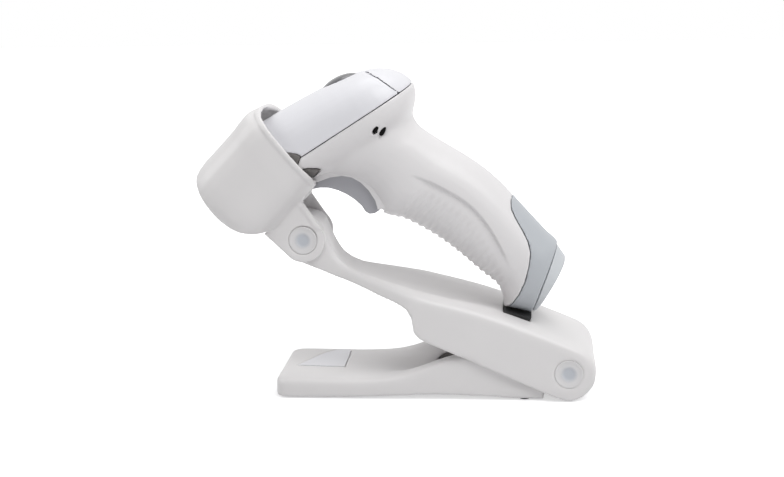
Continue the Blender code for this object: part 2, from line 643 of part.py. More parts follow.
def make_seat(arm):
    """Black pad let into the top of the arm, under the toe of the grip."""
    toe_along, toe_height = scanner_in_arm(grip_point(GRIP_TOE))
    heel_along, heel_height = scanner_in_arm(grip_point(GRIP_HEEL))
    margin = SHELL_WALL / 3
    front, back = toe_along - margin, heel_along + margin
    slope = (toe_height - heel_height) / (toe_along - heel_along)
    half = GRIP_WIDTH * 0.4
    floor = toe_height - 2.4 * ARM_WALL
    top_front = toe_height + slope * (front - toe_along) - FIT
    top_back = heel_height + slope * (back - heel_along) - FIT
    recess = box("seat_recess", (-front - FIT, -half - FIT, floor - FIT),
                 (-back + FIT, half + FIT, 2 * ARM_END_RADIUS), arm_frame)
    combine(arm, [recess])
    outline = [(-front, floor), (-back, floor), (-back, top_back), (-front, top_front)]
    return plate("handle_seat", outline, -half, half, arm_frame, SOFT_BLACK, FIT)


def make_hinges():
    """Pins, washers and the flush caps over the ends of the pins."""
    reach = ARM_WIDTH / 2 - CAP_THICKNESS - 2 * FIT
    rod("rear_hinge_pin", REAR_PIN_RADIUS, (0, -reach, 0), (0, reach, 0), arm_frame, STEEL)
    ear = NECK_WIDTH / 2 + WASHER_THICKNESS + 2 * FIT + EAR_THICKNESS
    front = ear - CAP_THICKNESS - 2 * FIT
    rod("front_hinge_pin", FRONT_PIN_RADIUS, (0, -front, 0), (0, front, 0), cup_frame, STEEL)
    wall = ARM_WIDTH / 2 - ARM_WALL - FIT
    for name, side in (("left", -1), ("right", 1)):
        cap("rear_hinge_cap_" + name, side, ARM_WIDTH / 2, arm_frame)
        cap("front_hinge_cap_" + name, side, ear, cup_frame)
        washer("rear_washer_" + name, side, wall, REAR_PIN_RADIUS, arm_frame)
        washer("front_washer_" + name, side, ear - EAR_THICKNESS - FIT, FRONT_PIN_RADIUS,
               cup_frame)


def cap(name, side, face, parent):
    """Flush disc with a shallow dish in its middle, turned about Y."""
    dish = CAP_RADIUS * 0.56
    sink = CAP_THICKNESS * 0.35
    profile = [(0.0, face - sink)]
    profile += [(dish * part_way, face - sink * (1 - part_way**2)) for part_way in
                (0.5, 1.0)]
    profile += [(CAP_RADIUS - FIT, face), (CAP_RADIUS, face - FIT),
                (CAP_RADIUS, face - CAP_THICKNESS), (0.0, face - CAP_THICKNESS)]
    return turned(name, profile, side, parent, CAP_GREY)


def washer(name, side, outer, pin, parent):
    low, high = pin + FIT, pin * 1.9
    profile = [(low, outer - WASHER_THICKNESS), (low, outer), (high, outer),
               (high, outer - WASHER_THICKNESS), (low, outer - WASHER_THICKNESS)]
    return turned(name, profile, side, parent, WASHER_GREY)


def turned(name, profile, side, parent, surface, sides=28):
    """Profile of (radius, y) spun about the Y axis of its frame."""
    shape = bmesh.new()
    closed = profile[0] == profile[-1]
    points = [shape.verts.new((radius, side * y, 0.0)) for radius, y in
              (profile[:-1] if closed else profile)]
    edges = [shape.edges.new(pair) for pair in zip(points, points[1:])]
    if closed:
        edges.append(shape.edges.new((points[-1], points[0])))
    bmesh.ops.spin(shape, geom=points + edges, cent=(0, 0, 0), axis=(0, 1, 0),
                   angle=2 * math.pi, steps=sides, use_merge=True)
    bmesh.ops.remove_doubles(shape, verts=shape.verts[:], dist=0.00001)
    bmesh.ops.recalc_face_normals(shape, faces=shape.faces[:])
    return place(name, mesh_of(name, shape), parent, surface)


# ---------------------------------------------------------------- stand: cup
def cup_place(ahead, down):
    """Side-view place in the cup's frame of a point behind its rim."""
    axis = (-math.cos(CUP_LEAN), -math.sin(CUP_LEAN))
    fall = (math.sin(CUP_LEAN), -math.cos(CUP_LEAN))
    x = (ahead - HINGE_FROM_RIM) * axis[0] + (down - HINGE_FROM_CROWN) * fall[0]
    z = (ahead - HINGE_FROM_RIM) * axis[1] + (down - HINGE_FROM_CROWN) * fall[1]
    return x, z


def cup_ring(ahead, grow):
    """Ring of the cup, grown evenly outward; the growth fades at the floor."""
    right = []
    for i, (breadth, depth) in enumerate(CUP_SECTION):
        y, down = breadth / 100 * CUP_WIDTH / 2, depth / 100 * CUP_DEPTH
        before = CUP_SECTION[max(i - 1, 0)]
        after = CUP_SECTION[min(i + 1, len(CUP_SECTION) - 1)]
        along_y = (after[0] - before[0]) / 200 * CUP_WIDTH
        along_down = (after[1] - before[1]) / 100 * CUP_DEPTH
        if i in (0, len(CUP_SECTION) - 1):
            along_down = 0.0
        length = math.hypot(along_y, along_down)
        amount = grow(depth / 100)
        right.append((y + along_down / length * amount, down - along_y / length * amount))
    whole = right + [(-y, down) for y, down in reversed(right[1:-1])]
    ring = []
    for y, down in whole:
        x, z = cup_place(ahead, down)
        ring.append((x, y, z))
    return ring


def rim_growth(ahead, less=0.0):
    """Growth of the cup near its rim: a lip that swells all round and dips at the crown."""
    share = ahead / CUP_LENGTH * 100
    _, dip, swell = between(RIM_STATIONS, min(max(share, RIM_STATIONS[0][0]), 45.0))

    def grow(depth):
        crown = max(1 - depth / 0.28, 0.0)
        side = max(1 - depth / 0.85, 0.0)
        return RIM_LIP * (swell * side - dip * crown) / 100 - less
    return grow


def make_cup():
    def steady(amount):
        return lambda depth: amount

    length = CUP_LENGTH
    near = [-0.04, 0.0, 0.05, 0.1, 0.155, 0.22, 0.32, 0.45]
    rings = [cup_ring(length * a, rim_growth(length * a)) for a in near]
    rings += [cup_ring(length * a, steady(b * CUP_WALL)) for a, b in
              [(0.78, 0.0), (0.88, -0.25), (0.95, -0.8), (1.0, -1.9)]]
    cup = loft("holder_cup", rings, cup_frame, WHITE)
    hollow_rings = [cup_ring(length * a, rim_growth(length * a, CUP_WALL)) for a in
                    [-0.2, -0.02, 0.07, 0.14, 0.24, 0.45, 0.8]]
    hollow_rings += [
                    cup_ring(length * 0.93, steady(-1.5 * CUP_WALL)),
                    cup_ring(length * 1.01, steady(-2.7 * CUP_WALL)),
                    cup_ring(length * 1.2, steady(-2.7 * CUP_WALL))]
    hollow = loft("cup_hollow", hollow_rings, cup_frame)
    combine(cup, [side_crop("cup_crop")], "INTERSECT")
    inner_face = NECK_WIDTH / 2 + WASHER_THICKNESS + 2 * FIT
    ears = [plate("ear_shape_%d" % side, ear_outline(), min(side * inner_face,
                  side * (inner_face + EAR_THICKNESS)), max(side * inner_face,
                  side * (inner_face + EAR_THICKNESS)), cup_frame) for side in (-1, 1)]
    combine(cup, ears, "UNION")
    combine(cup, [hollow, trigger_notch()])
    bore = rod("ear_bore", FRONT_PIN_RADIUS + FIT, (0, -CUP_WIDTH, 0), (0, CUP_WIDTH, 0),
               cup_frame)
    combine(cup, [bore])
    outer_face = inner_face + EAR_THICKNESS
    for side in (-1, 1):
        seat = rod("front_cap_seat_%d" % side, CAP_RADIUS + FIT,
                   (0, side * (outer_face - CAP_THICKNESS - FIT), 0),
                   (0, side * CUP_WIDTH, 0), cup_frame, sides=40)
        combine(cup, [seat])
    return cup


def trigger_notch():
    """Cut in the lower rim, so that a finger reaches the trigger."""
    half = TRIGGER_WIDTH / 2 + 2 * CUP_WALL
    back, front = -CUP_LENGTH * 0.1, CUP_LENGTH * 0.31
    high, low = CUP_DEPTH * 0.75, CUP_DEPTH * 1.12
    side = [cup_place(ahead, down) for ahead, down in
            [(back, high), (front, high), (front, low), (back, low)]]
    return plate("trigger_notch", side, -half, half, cup_frame)


def side_crop(name):
    """Side view of the cup: slanting rear rim, rounded lower corner and bulging front."""
    points = [(ahead / 100 * CUP_LENGTH, down / 100 * CUP_DEPTH) for ahead, down in CUP_SIDE]
    outline = [cup_place(ahead, down) for ahead, down in points]
    return plate(name, outline, -CUP_WIDTH, CUP_WIDTH, cup_frame)


def ear_outline():
    """Ear: a straight strap from the cup's floor to a round end on the hinge."""
    radius = EAR_RADIUS
    upper = CUP_DEPTH * 0.8
    strap_back = HINGE_FROM_RIM - radius * 1.25
    strap_front = HINGE_FROM_RIM + radius * 0.98
    points = [(strap_back, upper), (strap_front, upper), (strap_front, HINGE_FROM_CROWN)]
    points += [(HINGE_FROM_RIM + radius * math.cos(math.radians(a)),
                HINGE_FROM_CROWN + radius * math.sin(math.radians(a)))
               for a in spaced(15, 180, 14)]
    points += [(strap_back, CUP_DEPTH * 1.0)]
    return [cup_place(ahead, down) for ahead, down in points]


# ---------------------------------------------------------------- scanner: housing
def head_ring(along, inset=0.0, floor=None):
    row = between(HEAD_STATIONS, along)
    half = row[1] / 100 * HEAD_WIDTH / 2 - inset
    up = row[2] / 100 * HEAD_ABOVE_SEAM - inset
    down = row[3] / 100 * HEAD_BELOW_SEAM - inset
    if floor is not None:
        down = min(floor, down)
    x = -row[0] / 100 * HEAD_LENGTH
    return [(x, y, z) for y, z in oval(half, up, down, 2.5, 2.1, 36)]


def grip_ring(row, inset=0.0, rib=0.0, count=32):
    front = Vector(grip_point((row[1], row[2])))
    rear = Vector(grip_point((row[3], row[4])))
    axis = (rear - front).normalized()
    middle = (front + rear) / 2
    depth = (rear - front).length / 2 - inset
    half = row[5] / 100 * GRIP_WIDTH / 2 - inset
    ring = []
    for i in range(count):
        angle = 2 * math.pi * i / count
        c, s = math.cos(angle), math.sin(angle)
        reach = math.copysign(abs(c) ** 0.87, c)
        side = math.copysign(abs(s) ** 0.87, s)
        sunk = rib * min(max((0.25 - c) / 0.45, 0.0), 1.0)
        x = middle.x + axis.x * (depth - sunk) * reach
        z = middle.y + axis.y * (depth - sunk) * reach
        ring.append((x, side * (half - sunk), z))
    return ring


def grip_levels():
    """Levels of the grip's rings with how deep the groove is there."""
    first, last = 39.0, 80.0
    pitch = (last - first) / RIB_COUNT
    levels = [(level, 0.0) for level in (4.0, 8.0, 12.0, 16.0, 20.0, 24.0, 28.0, 31.7, 34.0, 36.3)]
    for rib in range(RIB_COUNT):
        start = first + pitch * rib
        levels += [(start, RIB_DEPTH), (start + pitch * 0.5, 0.0)]
    levels += [(last, RIB_DEPTH), (81.5, 0.0), (84.0, 0.0), (86.5, 0.0), (88.7, 0.0)]
    return levels


def grip_loft(name, parent, surface=None, inset=0.0, ribs=True):
    rings = [grip_ring(between(GRIP_STATIONS, level), inset, groove if ribs else 0.0)
             for level, groove in grip_levels()]
    rings += [grip_ring(row, inset) for row in GRIP_END]
    return loft(name, rings, parent, surface)


def head_loft(name):
    levels = [0.7, 1.5, 3.2, 5.5, 8.5, 12.5, 17, 22, 28, 36, 45, 52, 58, 64, 70, 77, 86, 93,
              97.5, 100]
    return loft(name, [head_ring(a) for a in levels], scanner_frame)


def beyond(name, edge, distance, far):
    """Cutter on the right-hand side of an edge, moved by a distance, out to far points."""
    line = shifted([grip_point(point) for point in edge], distance)
    reach = HEAD_WIDTH
    return plate(name, line + [grip_point(point) for point in far], -reach, reach, scanner_frame)


def seam_slab(name, low, high):
    reach = GRIP_LENGTH * 1.3
    return box(name, (-reach, -HEAD_WIDTH, low), (reach, HEAD_WIDTH, high), scanner_frame)


def back_cap_cutter(name, distance):
    """Region behind the slanting front edge of the rear cap."""
    edge = [(-33.0, 30.0), (-26.5, 24.6), (-21.8, 21.9), (-18.6, 19.8), (-15.6, 17.2),
            (-12.0, 12.5), (-9.1, 6.5), (-6.7, 0.4), (-5.7, -2.5)]
    line = shifted([(x / 99 * HEAD_LENGTH, z / 27 * HEAD_ABOVE_SEAM) for x, z in edge], distance)
    far = [(HEAD_LENGTH * 0.4, line[-1][1]), (HEAD_LENGTH * 0.4, line[0][1])]
    return plate(name, line + far, -HEAD_WIDTH, HEAD_WIDTH, scanner_frame)


def nose_cutter(name, distance):
    """Region in front of the rear edge of the nose bumper, with its two side tips."""
    edge = [(-84, 40), (-79, 22), (-72.5, 6.5), (-68.2, 0.6), (-72.6, -2.4), (-75.5, -4.4),
            (-69.6, -6.8), (-64.6, -11.6), (-69.5, -12.8), (-75, -13.8), (-80, -18), (-86, -30)]
    line = shifted([(x / 99 * HEAD_LENGTH, z / 27 * HEAD_ABOVE_SEAM) for x, z in edge], distance)
    far = [(-HEAD_LENGTH * 1.3, line[-1][1]), (-HEAD_LENGTH * 1.3, line[0][1])]
    return plate(name, line + far, -HEAD_WIDTH, HEAD_WIDTH, scanner_frame)


def make_housing():
    gap = SEAM_GAP / 2
    head = head_loft("head_shape")
    cavity = loft("head_cavity", [head_ring(a, SHELL_WALL, TUB_DEPTH) for a in
                                  (7, 10, 14, 18, 23, 29, 36, 45, 55, 66, 78, 89)], scanner_frame)
    above = seam_slab("above_seam", gap, HEAD_WIDTH)
    below = seam_slab("below_seam", -2 * GRIP_LENGTH, -gap)
    grip_cavity = cell_bore("cell_room", CELL_RADIUS + FIT, SHELL_WALL)
    far_right = [(-30, 140), (60, 140), (60, 50)]
    cover_side = beyond("cover_side", COVER_EDGE, 0.0, far_right)
    cover_side_in = beyond("cover_side_in", COVER_EDGE, -FIT, far_right)
    pocket = plate("trigger_pocket", [grip_point(p) for p in POCKET_BACK] +
                   [grip_point((-70, 40)), grip_point((-70, 10))],
                   -TRIGGER_WIDTH / 2 - FIT, TRIGGER_WIDTH / 2 + FIT, scanner_frame)

    body = grip_loft("body_shell", scanner_frame, WHITE)
    combine(body, [head], "UNION")
    combine(body, [below], "INTERSECT")
    combine(body, [cavity, grip_cavity, nose_cutter("nose_side", 0.0), cover_side, pocket])
    combine(body, side_ovals() + trigger_rooms())
    combine(body, board_bosses(), "UNION")

    top = head_copy("top_cover", COVER_WHITE)
    combine(top, [above], "INTERSECT")
    combine(top, [cavity, nose_cutter("nose_side_top", 0.0), back_cap_cutter("cap_side", 0.0),
                  indicator("indicator_seat", FIT)])
    lens = indicator("indicator_lens", 0.0, SMOKE)
    combine(lens, [cavity])

    back = head_copy("rear_cap", COVER_WHITE)
    combine(back, [above, back_cap_cutter("cap_side_in", -FIT)], "INTERSECT")
    combine(back, [cavity])

    nose = head_copy("nose_bumper", ENGINE_BLACK)
    combine(nose, [nose_cutter("nose_side_in", FIT)], "INTERSECT")
    front, back = POCKET_BACK[0][0], POCKET_BACK[2][0]
    high, low = POCKET_BACK[0][1], POCKET_BACK[5][1]
    trigger_front = plate("trigger_front", [grip_point(p) for p in
                          [(front, high), (back, high), (back, low), (front, low)]],
                          -TRIGGER_WIDTH / 2 - FIT, TRIGGER_WIDTH / 2 + FIT, scanner_frame)
    combine(nose, [cavity, trigger_front] + window_opening())

    cover = grip_loft("lower_cover", scanner_frame, COOL_GREY, ribs=False)
    end_side = beyond("end_side", END_EDGE, 0.0, [(-30, 140), (60, 120)])
    end_side_in = beyond("end_side_in", END_EDGE, -FIT, [(-30, 140), (60, 120)])
    combine(cover, [cover_side_in], "INTERSECT")
    combine(cover, [end_side, grip_cavity])

    end = grip_loft("end_cap", scanner_frame, PALE_GREY, inset=SHELL_WALL * 0.4, ribs=False)
    combine(end, [end_side_in], "INTERSECT")
    fit_end(end)
    return body, top, back, nose, cover, end


def head_copy(name, surface):
    piece = head_loft(name)
    cutters.objects.unlink(piece)
    part.objects.link(piece)
    piece.hide_render = False
    piece.display_type = "TEXTURED"
    piece.data.materials.append(surface)
    return piece


def cell_axis():
    """Lower and upper end of the battery cell inside the grip, as (x, z)."""
    low = Vector(grip_point((-0.8, 81.7)))
    high = Vector(grip_point((-12.4, 38.0)))
    along = (high - low).normalized()
    return low, low + along * CELL_LENGTH, along


def cell_bore(name, radius, past):
    low, high, along = cell_axis()
    start, end = low - along * FIT, high + along * past
    return rod(name, radius, (start.x, 0.0, start.y), (end.x, 0.0, end.y), scanner_frame)


def window_opening():
    """Rebate for the window and the light path behind it."""
    half_w, half_h = WINDOW_WIDTH / 2, WINDOW_HEIGHT / 2
    middle = HEAD_ABOVE_SEAM * 0.12
    face = -HEAD_LENGTH
    rebate = box("window_rebate", (face - WINDOW_THICKNESS, -half_w - FIT, middle - half_h - FIT),
                 (face + 2 * WINDOW_THICKNESS, half_w + FIT, middle + half_h + FIT), scanner_frame)
    path = box("light_path", (face, -half_w * 0.88, middle - half_h * 0.8),
               (face + HEAD_LENGTH * 0.16, half_w * 0.88, middle + half_h * 0.8), scanner_frame)
    return [rebate, path]


def make_window():
    half_w, half_h = WINDOW_WIDTH / 2, WINDOW_HEIGHT / 2
    middle = HEAD_ABOVE_SEAM * 0.12
    back = -HEAD_LENGTH + 2 * WINDOW_THICKNESS - FIT
    return box("scan_window", (back - WINDOW_THICKNESS, -half_w, middle - half_h),
               (back, half_w, middle + half_h), scanner_frame, GLASS, FIT)


def side_ovals():
    """Two slanted oval recesses on one side of the head, behind the seam's middle."""
    long, short = HEAD_WIDTH * 0.038, HEAD_WIDTH * 0.0165
    ovals = []
    for number, (x, z) in enumerate([(-0.278, -0.353), (-0.256, -0.474)]):
        outline = slanted_oval((x * HEAD_LENGTH, z * HEAD_ABOVE_SEAM), long, short, 24)
        ovals.append(plate("oval_%d" % number, outline, -HEAD_WIDTH, -HEAD_WIDTH * 0.33,
                           scanner_frame))
    return ovals


def indicator(name, grow, surface=None):
    """Smoked dome standing on the crown of the top cover."""
    shape = bmesh.new()
    bmesh.ops.create_uvsphere(shape, u_segments=24, v_segments=12, radius=1.0)
    size = (HEAD_LENGTH * 0.135 + grow, HEAD_WIDTH * 0.15 + grow, HEAD_ABOVE_SEAM * 0.25 + grow)
    bmesh.ops.scale(shape, vec=size, verts=shape.verts[:])
    place_at = Matrix.Translation((-HEAD_LENGTH * 0.352, 0.0, HEAD_ABOVE_SEAM * 0.7))
    lean = Matrix.Rotation(math.radians(6), 4, "Y")
    bmesh.ops.transform(shape, matrix=place_at @ lean, verts=shape.verts[:])
    return place(name, mesh_of(name, shape), scanner_frame, surface)


def board_places():
    front = -HEAD_LENGTH * 0.605
    return [(front, -1), (front, 1), (front + BOARD_LENGTH * 0.4, -1),
            (front + BOARD_LENGTH * 0.4, 1)]


def board_bosses():
    bosses = []
    for number, (x, side) in enumerate(board_places()):
        y = side * BOARD_WIDTH * 0.4
        bosses.append(rod("board_boss_%d" % number, BOARD_THICKNESS * 1.4,
                          (x, y, -TUB_DEPTH - SHELL_WALL / 2),
                          (x, y, -TUB_DEPTH * 0.4 - FIT), scanner_frame, sides=16))
    return bosses


def switch_box(name, grow, surface=None):
    x, z = grip_point(SWITCH_AT)
    half = SHELL_WALL * 1.25 + grow
    return box(name, (x - half, -half, z - half), (x + half, half, z + half), scanner_frame,
               surface)


def trigger_rooms():
    """Bore for the trigger's pin and the seat of its switch."""
    hole = rod("trigger_pin_bore", TRIGGER_PIN_RADIUS + FIT, (pivot[0], -pin_reach() - FIT, pivot[1]),
               (pivot[0], pin_reach() + FIT, pivot[1]), scanner_frame, sides=20)
    return [hole, switch_box("switch_seat", FIT)]


def pin_reach():
    return TRIGGER_WIDTH / 2 + SHELL_WALL


def make_trigger():
    outline = [grip_point(point) for point in TRIGGER_BACK + TRIGGER_FRONT]
    outline = [(x - pivot[0], z - pivot[1]) for x, z in outline]
    trigger = plate("trigger", outline, -TRIGGER_WIDTH / 2, TRIGGER_WIDTH / 2, trigger_frame,
                    COOL_GREY, SHELL_WALL * 0.3)
    lug = rod("trigger_lug", SHELL_WALL * 1.2, (0, -TRIGGER_WIDTH / 2, 0),
              (0, TRIGGER_WIDTH / 2, 0), trigger_frame)
    combine(trigger, [lug], "UNION")
    bore = rod("trigger_bore", TRIGGER_PIN_RADIUS + FIT, (0, -TRIGGER_WIDTH, 0),
               (0, TRIGGER_WIDTH, 0), trigger_frame, sides=20)
    room = rod("spring_room", SHELL_WALL * 1.5, (0, TRIGGER_WIDTH * 0.28, 0),
               (0, TRIGGER_WIDTH, 0), trigger_frame)
    combine(trigger, [bore, room])
    rod("trigger_pin", TRIGGER_PIN_RADIUS, (pivot[0], -pin_reach(), pivot[1]),
        (pivot[0], pin_reach(), pivot[1]), scanner_frame, STEEL, sides=20)
    switch = switch_box("trigger_switch", 0.0, ENGINE_BLACK)
    x, z = grip_point(SWITCH_AT)
    plunger = rod("switch_plunger", SHELL_WALL * 0.45, (x, 0, z - SHELL_WALL),
                  (x, 0, z - SHELL_WALL * 1.75), scanner_frame, sides=16)
    combine(switch, [plunger], "UNION")
    make_spring()
    return trigger


def make_spring():
    """Return spring wound round the trigger's pin."""
    wire = TRIGGER_PIN_RADIUS * 0.2
    radius = TRIGGER_PIN_RADIUS + FIT + 2 * wire
    start = TRIGGER_WIDTH * 0.28 + 2 * wire
    pitch = 3.4 * wire
    turns, steps = 4, 10
    curve = bpy.data.curves.new("trigger_spring", "CURVE")
    curve.dimensions = "3D"
    curve.bevel_depth = wire
    curve.bevel_resolution = 0
    curve.use_fill_caps = True
    spline = curve.splines.new("POLY")
    count = turns * steps + 1
    spline.points.add(count - 1)
    for i, point in enumerate(spline.points):
        a = 2 * math.pi * i / steps
        point.co = (radius * math.cos(a), start + pitch * i / steps, radius * math.sin(a), 1.0)
    spring = bpy.data.objects.new("trigger_spring", curve)
    spring.parent = trigger_frame
    curve.materials.append(STEEL)
    part.objects.link(spring)
    return spring


def make_electronics():
    """Scan engine, its board, the sounder and the cell."""
    floor = -TUB_DEPTH * 0.88
    back = -HEAD_LENGTH * 0.69
    front = back - ENGINE_LENGTH
    half = ENGINE_WIDTH / 2
    box("scan_engine", (front, -half, floor), (back, half, floor + ENGINE_HEIGHT), scanner_frame,
        ENGINE_BLACK, FIT)
    eye = floor + ENGINE_HEIGHT / 2
    lens_radius = ENGINE_HEIGHT * 0.28
    rod("engine_lens", lens_radius, (front - FIT, 0, eye), (front - lens_radius, 0, eye),
        scanner_frame, GLASS)
    for name, side in (("left", -1), ("right", 1)):
        y = side * half * 0.72
        rod("aiming_lamp_" + name, lens_radius * 0.5, (front - FIT, y, eye),
            (front - lens_radius * 0.6, y, eye), scanner_frame, PALE_GREY, sides=20)
    top = -TUB_DEPTH * 0.4 + BOARD_THICKNESS
    board_front = -HEAD_LENGTH * 0.65
    box("main_board", (board_front, -BOARD_WIDTH / 2, top - BOARD_THICKNESS),
        (board_front + BOARD_LENGTH, BOARD_WIDTH / 2, top), scanner_frame, BOARD_GREEN)
    sounder_at = board_front + BOARD_LENGTH * 0.75
    rod("sounder", BOARD_WIDTH * 0.13, (sounder_at, 0, top + FIT),
        (sounder_at, 0, top + 3 * BOARD_THICKNESS), scanner_frame, ENGINE_BLACK)
    low, high, _ = cell_axis()
    rod("battery_cell", CELL_RADIUS, (low.x, 0, low.y), (high.x, 0, high.y), scanner_frame,
        CELL_WRAP, rounded=FIT)


def end_face():
    """Middle of the end cap's face, the way along it and the way out of it."""
    heel = Vector(grip_point(GRIP_HEEL))
    back = Vector(grip_point(GRIP_BACK_CORNER))
    along = (back - heel).normalized()
    return (heel + back) / 2, along, Vector((along.y, -along.x))


def fit_end(end):
    """Charging contacts and the screw, let in flush with the end cap's face."""
    middle, along, out = end_face()
    sink = SHELL_WALL / 2
    contact = SHELL_WALL * 0.65

    def place_rod(name, radius, at, y, start, finish, surface=None):
        near = middle + along * at + out * start
        far = middle + along * at + out * finish
        return rod(name, radius, (near.x, y, near.y), (far.x, y, far.y), scanner_frame, surface,
                   sides=20)

    for name, side in (("left", -1), ("right", 1)):
        y = side * GRIP_WIDTH * 0.12
        seat = place_rod("contact_seat_" + name, contact + FIT, 0.0, y, -sink - FIT, sink * 8)
        combine(end, [seat])
        place_rod("charge_contact_" + name, contact, 0.0, y, -sink, 0.0, GOLD)
    screw_at = SHELL_WALL * 3.6
    head_seat = place_rod("screw_seat", contact * 1.3 + FIT, screw_at, 0.0, -sink - FIT, sink * 8)
    shank_seat = place_rod("shank_seat", contact * 0.6 + FIT, screw_at, 0.0, -sink * 5 - FIT, sink)
    combine(end, [head_seat, shank_seat])
    screw = place_rod("end_cap_screw", contact * 1.3, screw_at, 0.0, -sink, -FIT, STEEL)
    shank = place_rod("screw_shank", contact * 0.6, screw_at, 0.0, -sink * 5, -sink * 0.5)
    combine(screw, [shank], "UNION")


# ---------------------------------------------------------------- run
stand_base = make_base()
make_underside(stand_base)
make_inlay(stand_base)
make_plug(stand_base)
arm_shell = make_arm()
make_seat(arm_shell)
make_hinges()
make_cup()
make_housing()
make_window()
make_trigger()
make_electronics()
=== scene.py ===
import json
import math

import bmesh
import bpy
from mathutils import Matrix, Vector
from mathutils.kdtree import KDTree


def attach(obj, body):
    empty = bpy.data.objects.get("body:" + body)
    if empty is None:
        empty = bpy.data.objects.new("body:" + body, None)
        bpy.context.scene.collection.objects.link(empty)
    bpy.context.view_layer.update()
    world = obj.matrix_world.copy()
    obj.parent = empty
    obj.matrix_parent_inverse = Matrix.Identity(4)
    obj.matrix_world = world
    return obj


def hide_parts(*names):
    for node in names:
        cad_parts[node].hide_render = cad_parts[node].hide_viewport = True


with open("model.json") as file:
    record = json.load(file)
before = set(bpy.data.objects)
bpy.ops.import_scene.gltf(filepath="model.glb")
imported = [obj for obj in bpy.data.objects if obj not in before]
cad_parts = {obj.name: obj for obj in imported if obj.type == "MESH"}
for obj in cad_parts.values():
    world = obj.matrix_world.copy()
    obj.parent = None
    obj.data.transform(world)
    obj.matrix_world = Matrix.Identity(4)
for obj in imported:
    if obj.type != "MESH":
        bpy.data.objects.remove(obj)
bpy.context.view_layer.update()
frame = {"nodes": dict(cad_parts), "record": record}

scene = bpy.context.scene
scene.view_settings.view_transform = "Standard"
print("frame loaded:", len(frame["nodes"]), "nodes")

# the photograph's width and height in pixels, and its view: metres, degrees, millimetres of lens
photo = (784, 477)
camera = {"target": (-0.004, 0.0, 0.084), "yaw": 5.3, "rise": 10.6, "roll": -1.0,
          "distance": 0.9, "lens": 73.15, "sensor": 36}


def addCamera():
    yaw, rise, roll = (math.radians(camera[key]) for key in ("yaw", "rise", "roll"))
    back = Vector((math.sin(yaw) * math.cos(rise), -math.cos(yaw) * math.cos(rise),
                   math.sin(rise)))
    right = (-back).cross(Vector((0, 0, 1))).normalized()
    up = right.cross(-back)
    turnedRight = right * math.cos(roll) + up * math.sin(roll)
    turnedUp = up * math.cos(roll) - right * math.sin(roll)
    bpy.ops.object.camera_add(location=Vector(camera["target"]) + back * camera["distance"])
    eye = bpy.context.object
    eye.name = "photoCamera"
    eye.data.lens = camera["lens"]
    eye.data.sensor_width = camera["sensor"]
    turn = Matrix((turnedRight, turnedUp, back)).transposed()
    eye.rotation_euler = turn.to_euler()
    scene.camera = eye


addCamera()


# shader maths: an expression on values adds its Math nodes
class Value:
    def __init__(self, tree, socket):
        self.tree, self.socket = tree, socket

    def join(self, operation, other, swapped=False):
        pair = (other, self) if swapped else (self, other)
        return self.tree.node("ShaderNodeMath", {"operation": operation}, pair)

    def __add__(self, other):
        return self.join("ADD", other)

    def __radd__(self, other):
        return self.join("ADD", other, True)

    def __sub__(self, other):
        return self.join("SUBTRACT", other)

    def __rsub__(self, other):
        return self.join("SUBTRACT", other, True)

    def __mul__(self, other):
        return self.join("MULTIPLY", other)

    def __rmul__(self, other):
        return self.join("MULTIPLY", other, True)

    def __pow__(self, other):
        return self.join("POWER", other)


class Finish:
    def __init__(self, name):
        self.material = bpy.data.materials.new(name)
        self.material.use_nodes = True
        self.nodes = self.material.node_tree.nodes
        self.links = self.material.node_tree.links
        self.shader = self.nodes["Principled BSDF"]
        self.places = Value(self, self.nodes.new("ShaderNodeTexCoord").outputs["Object"])

    def feed(self, socket, value):
        if isinstance(value, Value):
            self.links.new(value.socket, socket)
        else:
            socket.default_value = value

    def node(self, kind, settings, inputs, output=0):
        made = self.nodes.new(kind)
        for key, value in settings.items():
            setattr(made, key, value)
        named = inputs.items() if isinstance(inputs, dict) else enumerate(inputs)
        for key, value in named:
            self.feed(made.inputs[key], value)
        return Value(self, made.outputs[output])

    def noise(self, scale, detail=2.0, rough=0.5, stretch=None):
        places = self.places
        if stretch:
            places = self.node("ShaderNodeMapping", {}, {"Vector": places, "Scale": stretch})
        return self.node("ShaderNodeTexNoise", {}, {"Vector": places, "Scale": scale,
                                                    "Detail": detail, "Roughness": rough})

    def mixed(self, share, first, second):  # by number, as the Mix node's sockets share names
        return self.node("ShaderNodeMix", {"data_type": "RGBA"}, {0: share, 6: first, 7: second}, 2)

    def bump(self, height, distance, strength):
        return self.node("ShaderNodeBump", {}, {"Height": height, "Distance": distance,
                                                "Strength": strength})

    def set(self, **sockets):
        names = {"colour": "Base Color", "rough": "Roughness", "metal": "Metallic",
                 "normal": "Normal", "coat": "Coat Weight", "coatRough": "Coat Roughness",
                 "specular": "Specular IOR Level"}
        for key, value in sockets.items():
            self.feed(self.shader.inputs[names[key]], value)
        return self.material


def shaded(colour, share=1.0):
    return tuple(min(part * share, 1.0) for part in colour) + (1.0,)


# each finish: a slow cloud over its colour and roughness, and a fine grain
plasticLook = {"cloud": 38.0, "detail": 3.0, "spread": 0.02, "sheen": 0.08, "fine": 2600.0,
               "strength": 0.35}
rubberLook = {"cloud": 90.0, "detail": 4.0, "dark": 0.8, "light": 1.25, "rough": 0.68,
              "sheen": 0.15, "fine": 1800.0, "grain": 0.00006, "strength": 0.5}
metalLook = {"rings": 900.0, "stretch": (1.0, 0.05, 1.0), "dark": 0.85, "sheen": 0.15,
             "grain": 0.00003, "strength": 0.4}
smokedLook = {"cloud": 60.0, "dark": 0.8, "sheen": 0.05, "coat": 0.6, "coatRough": 0.08}


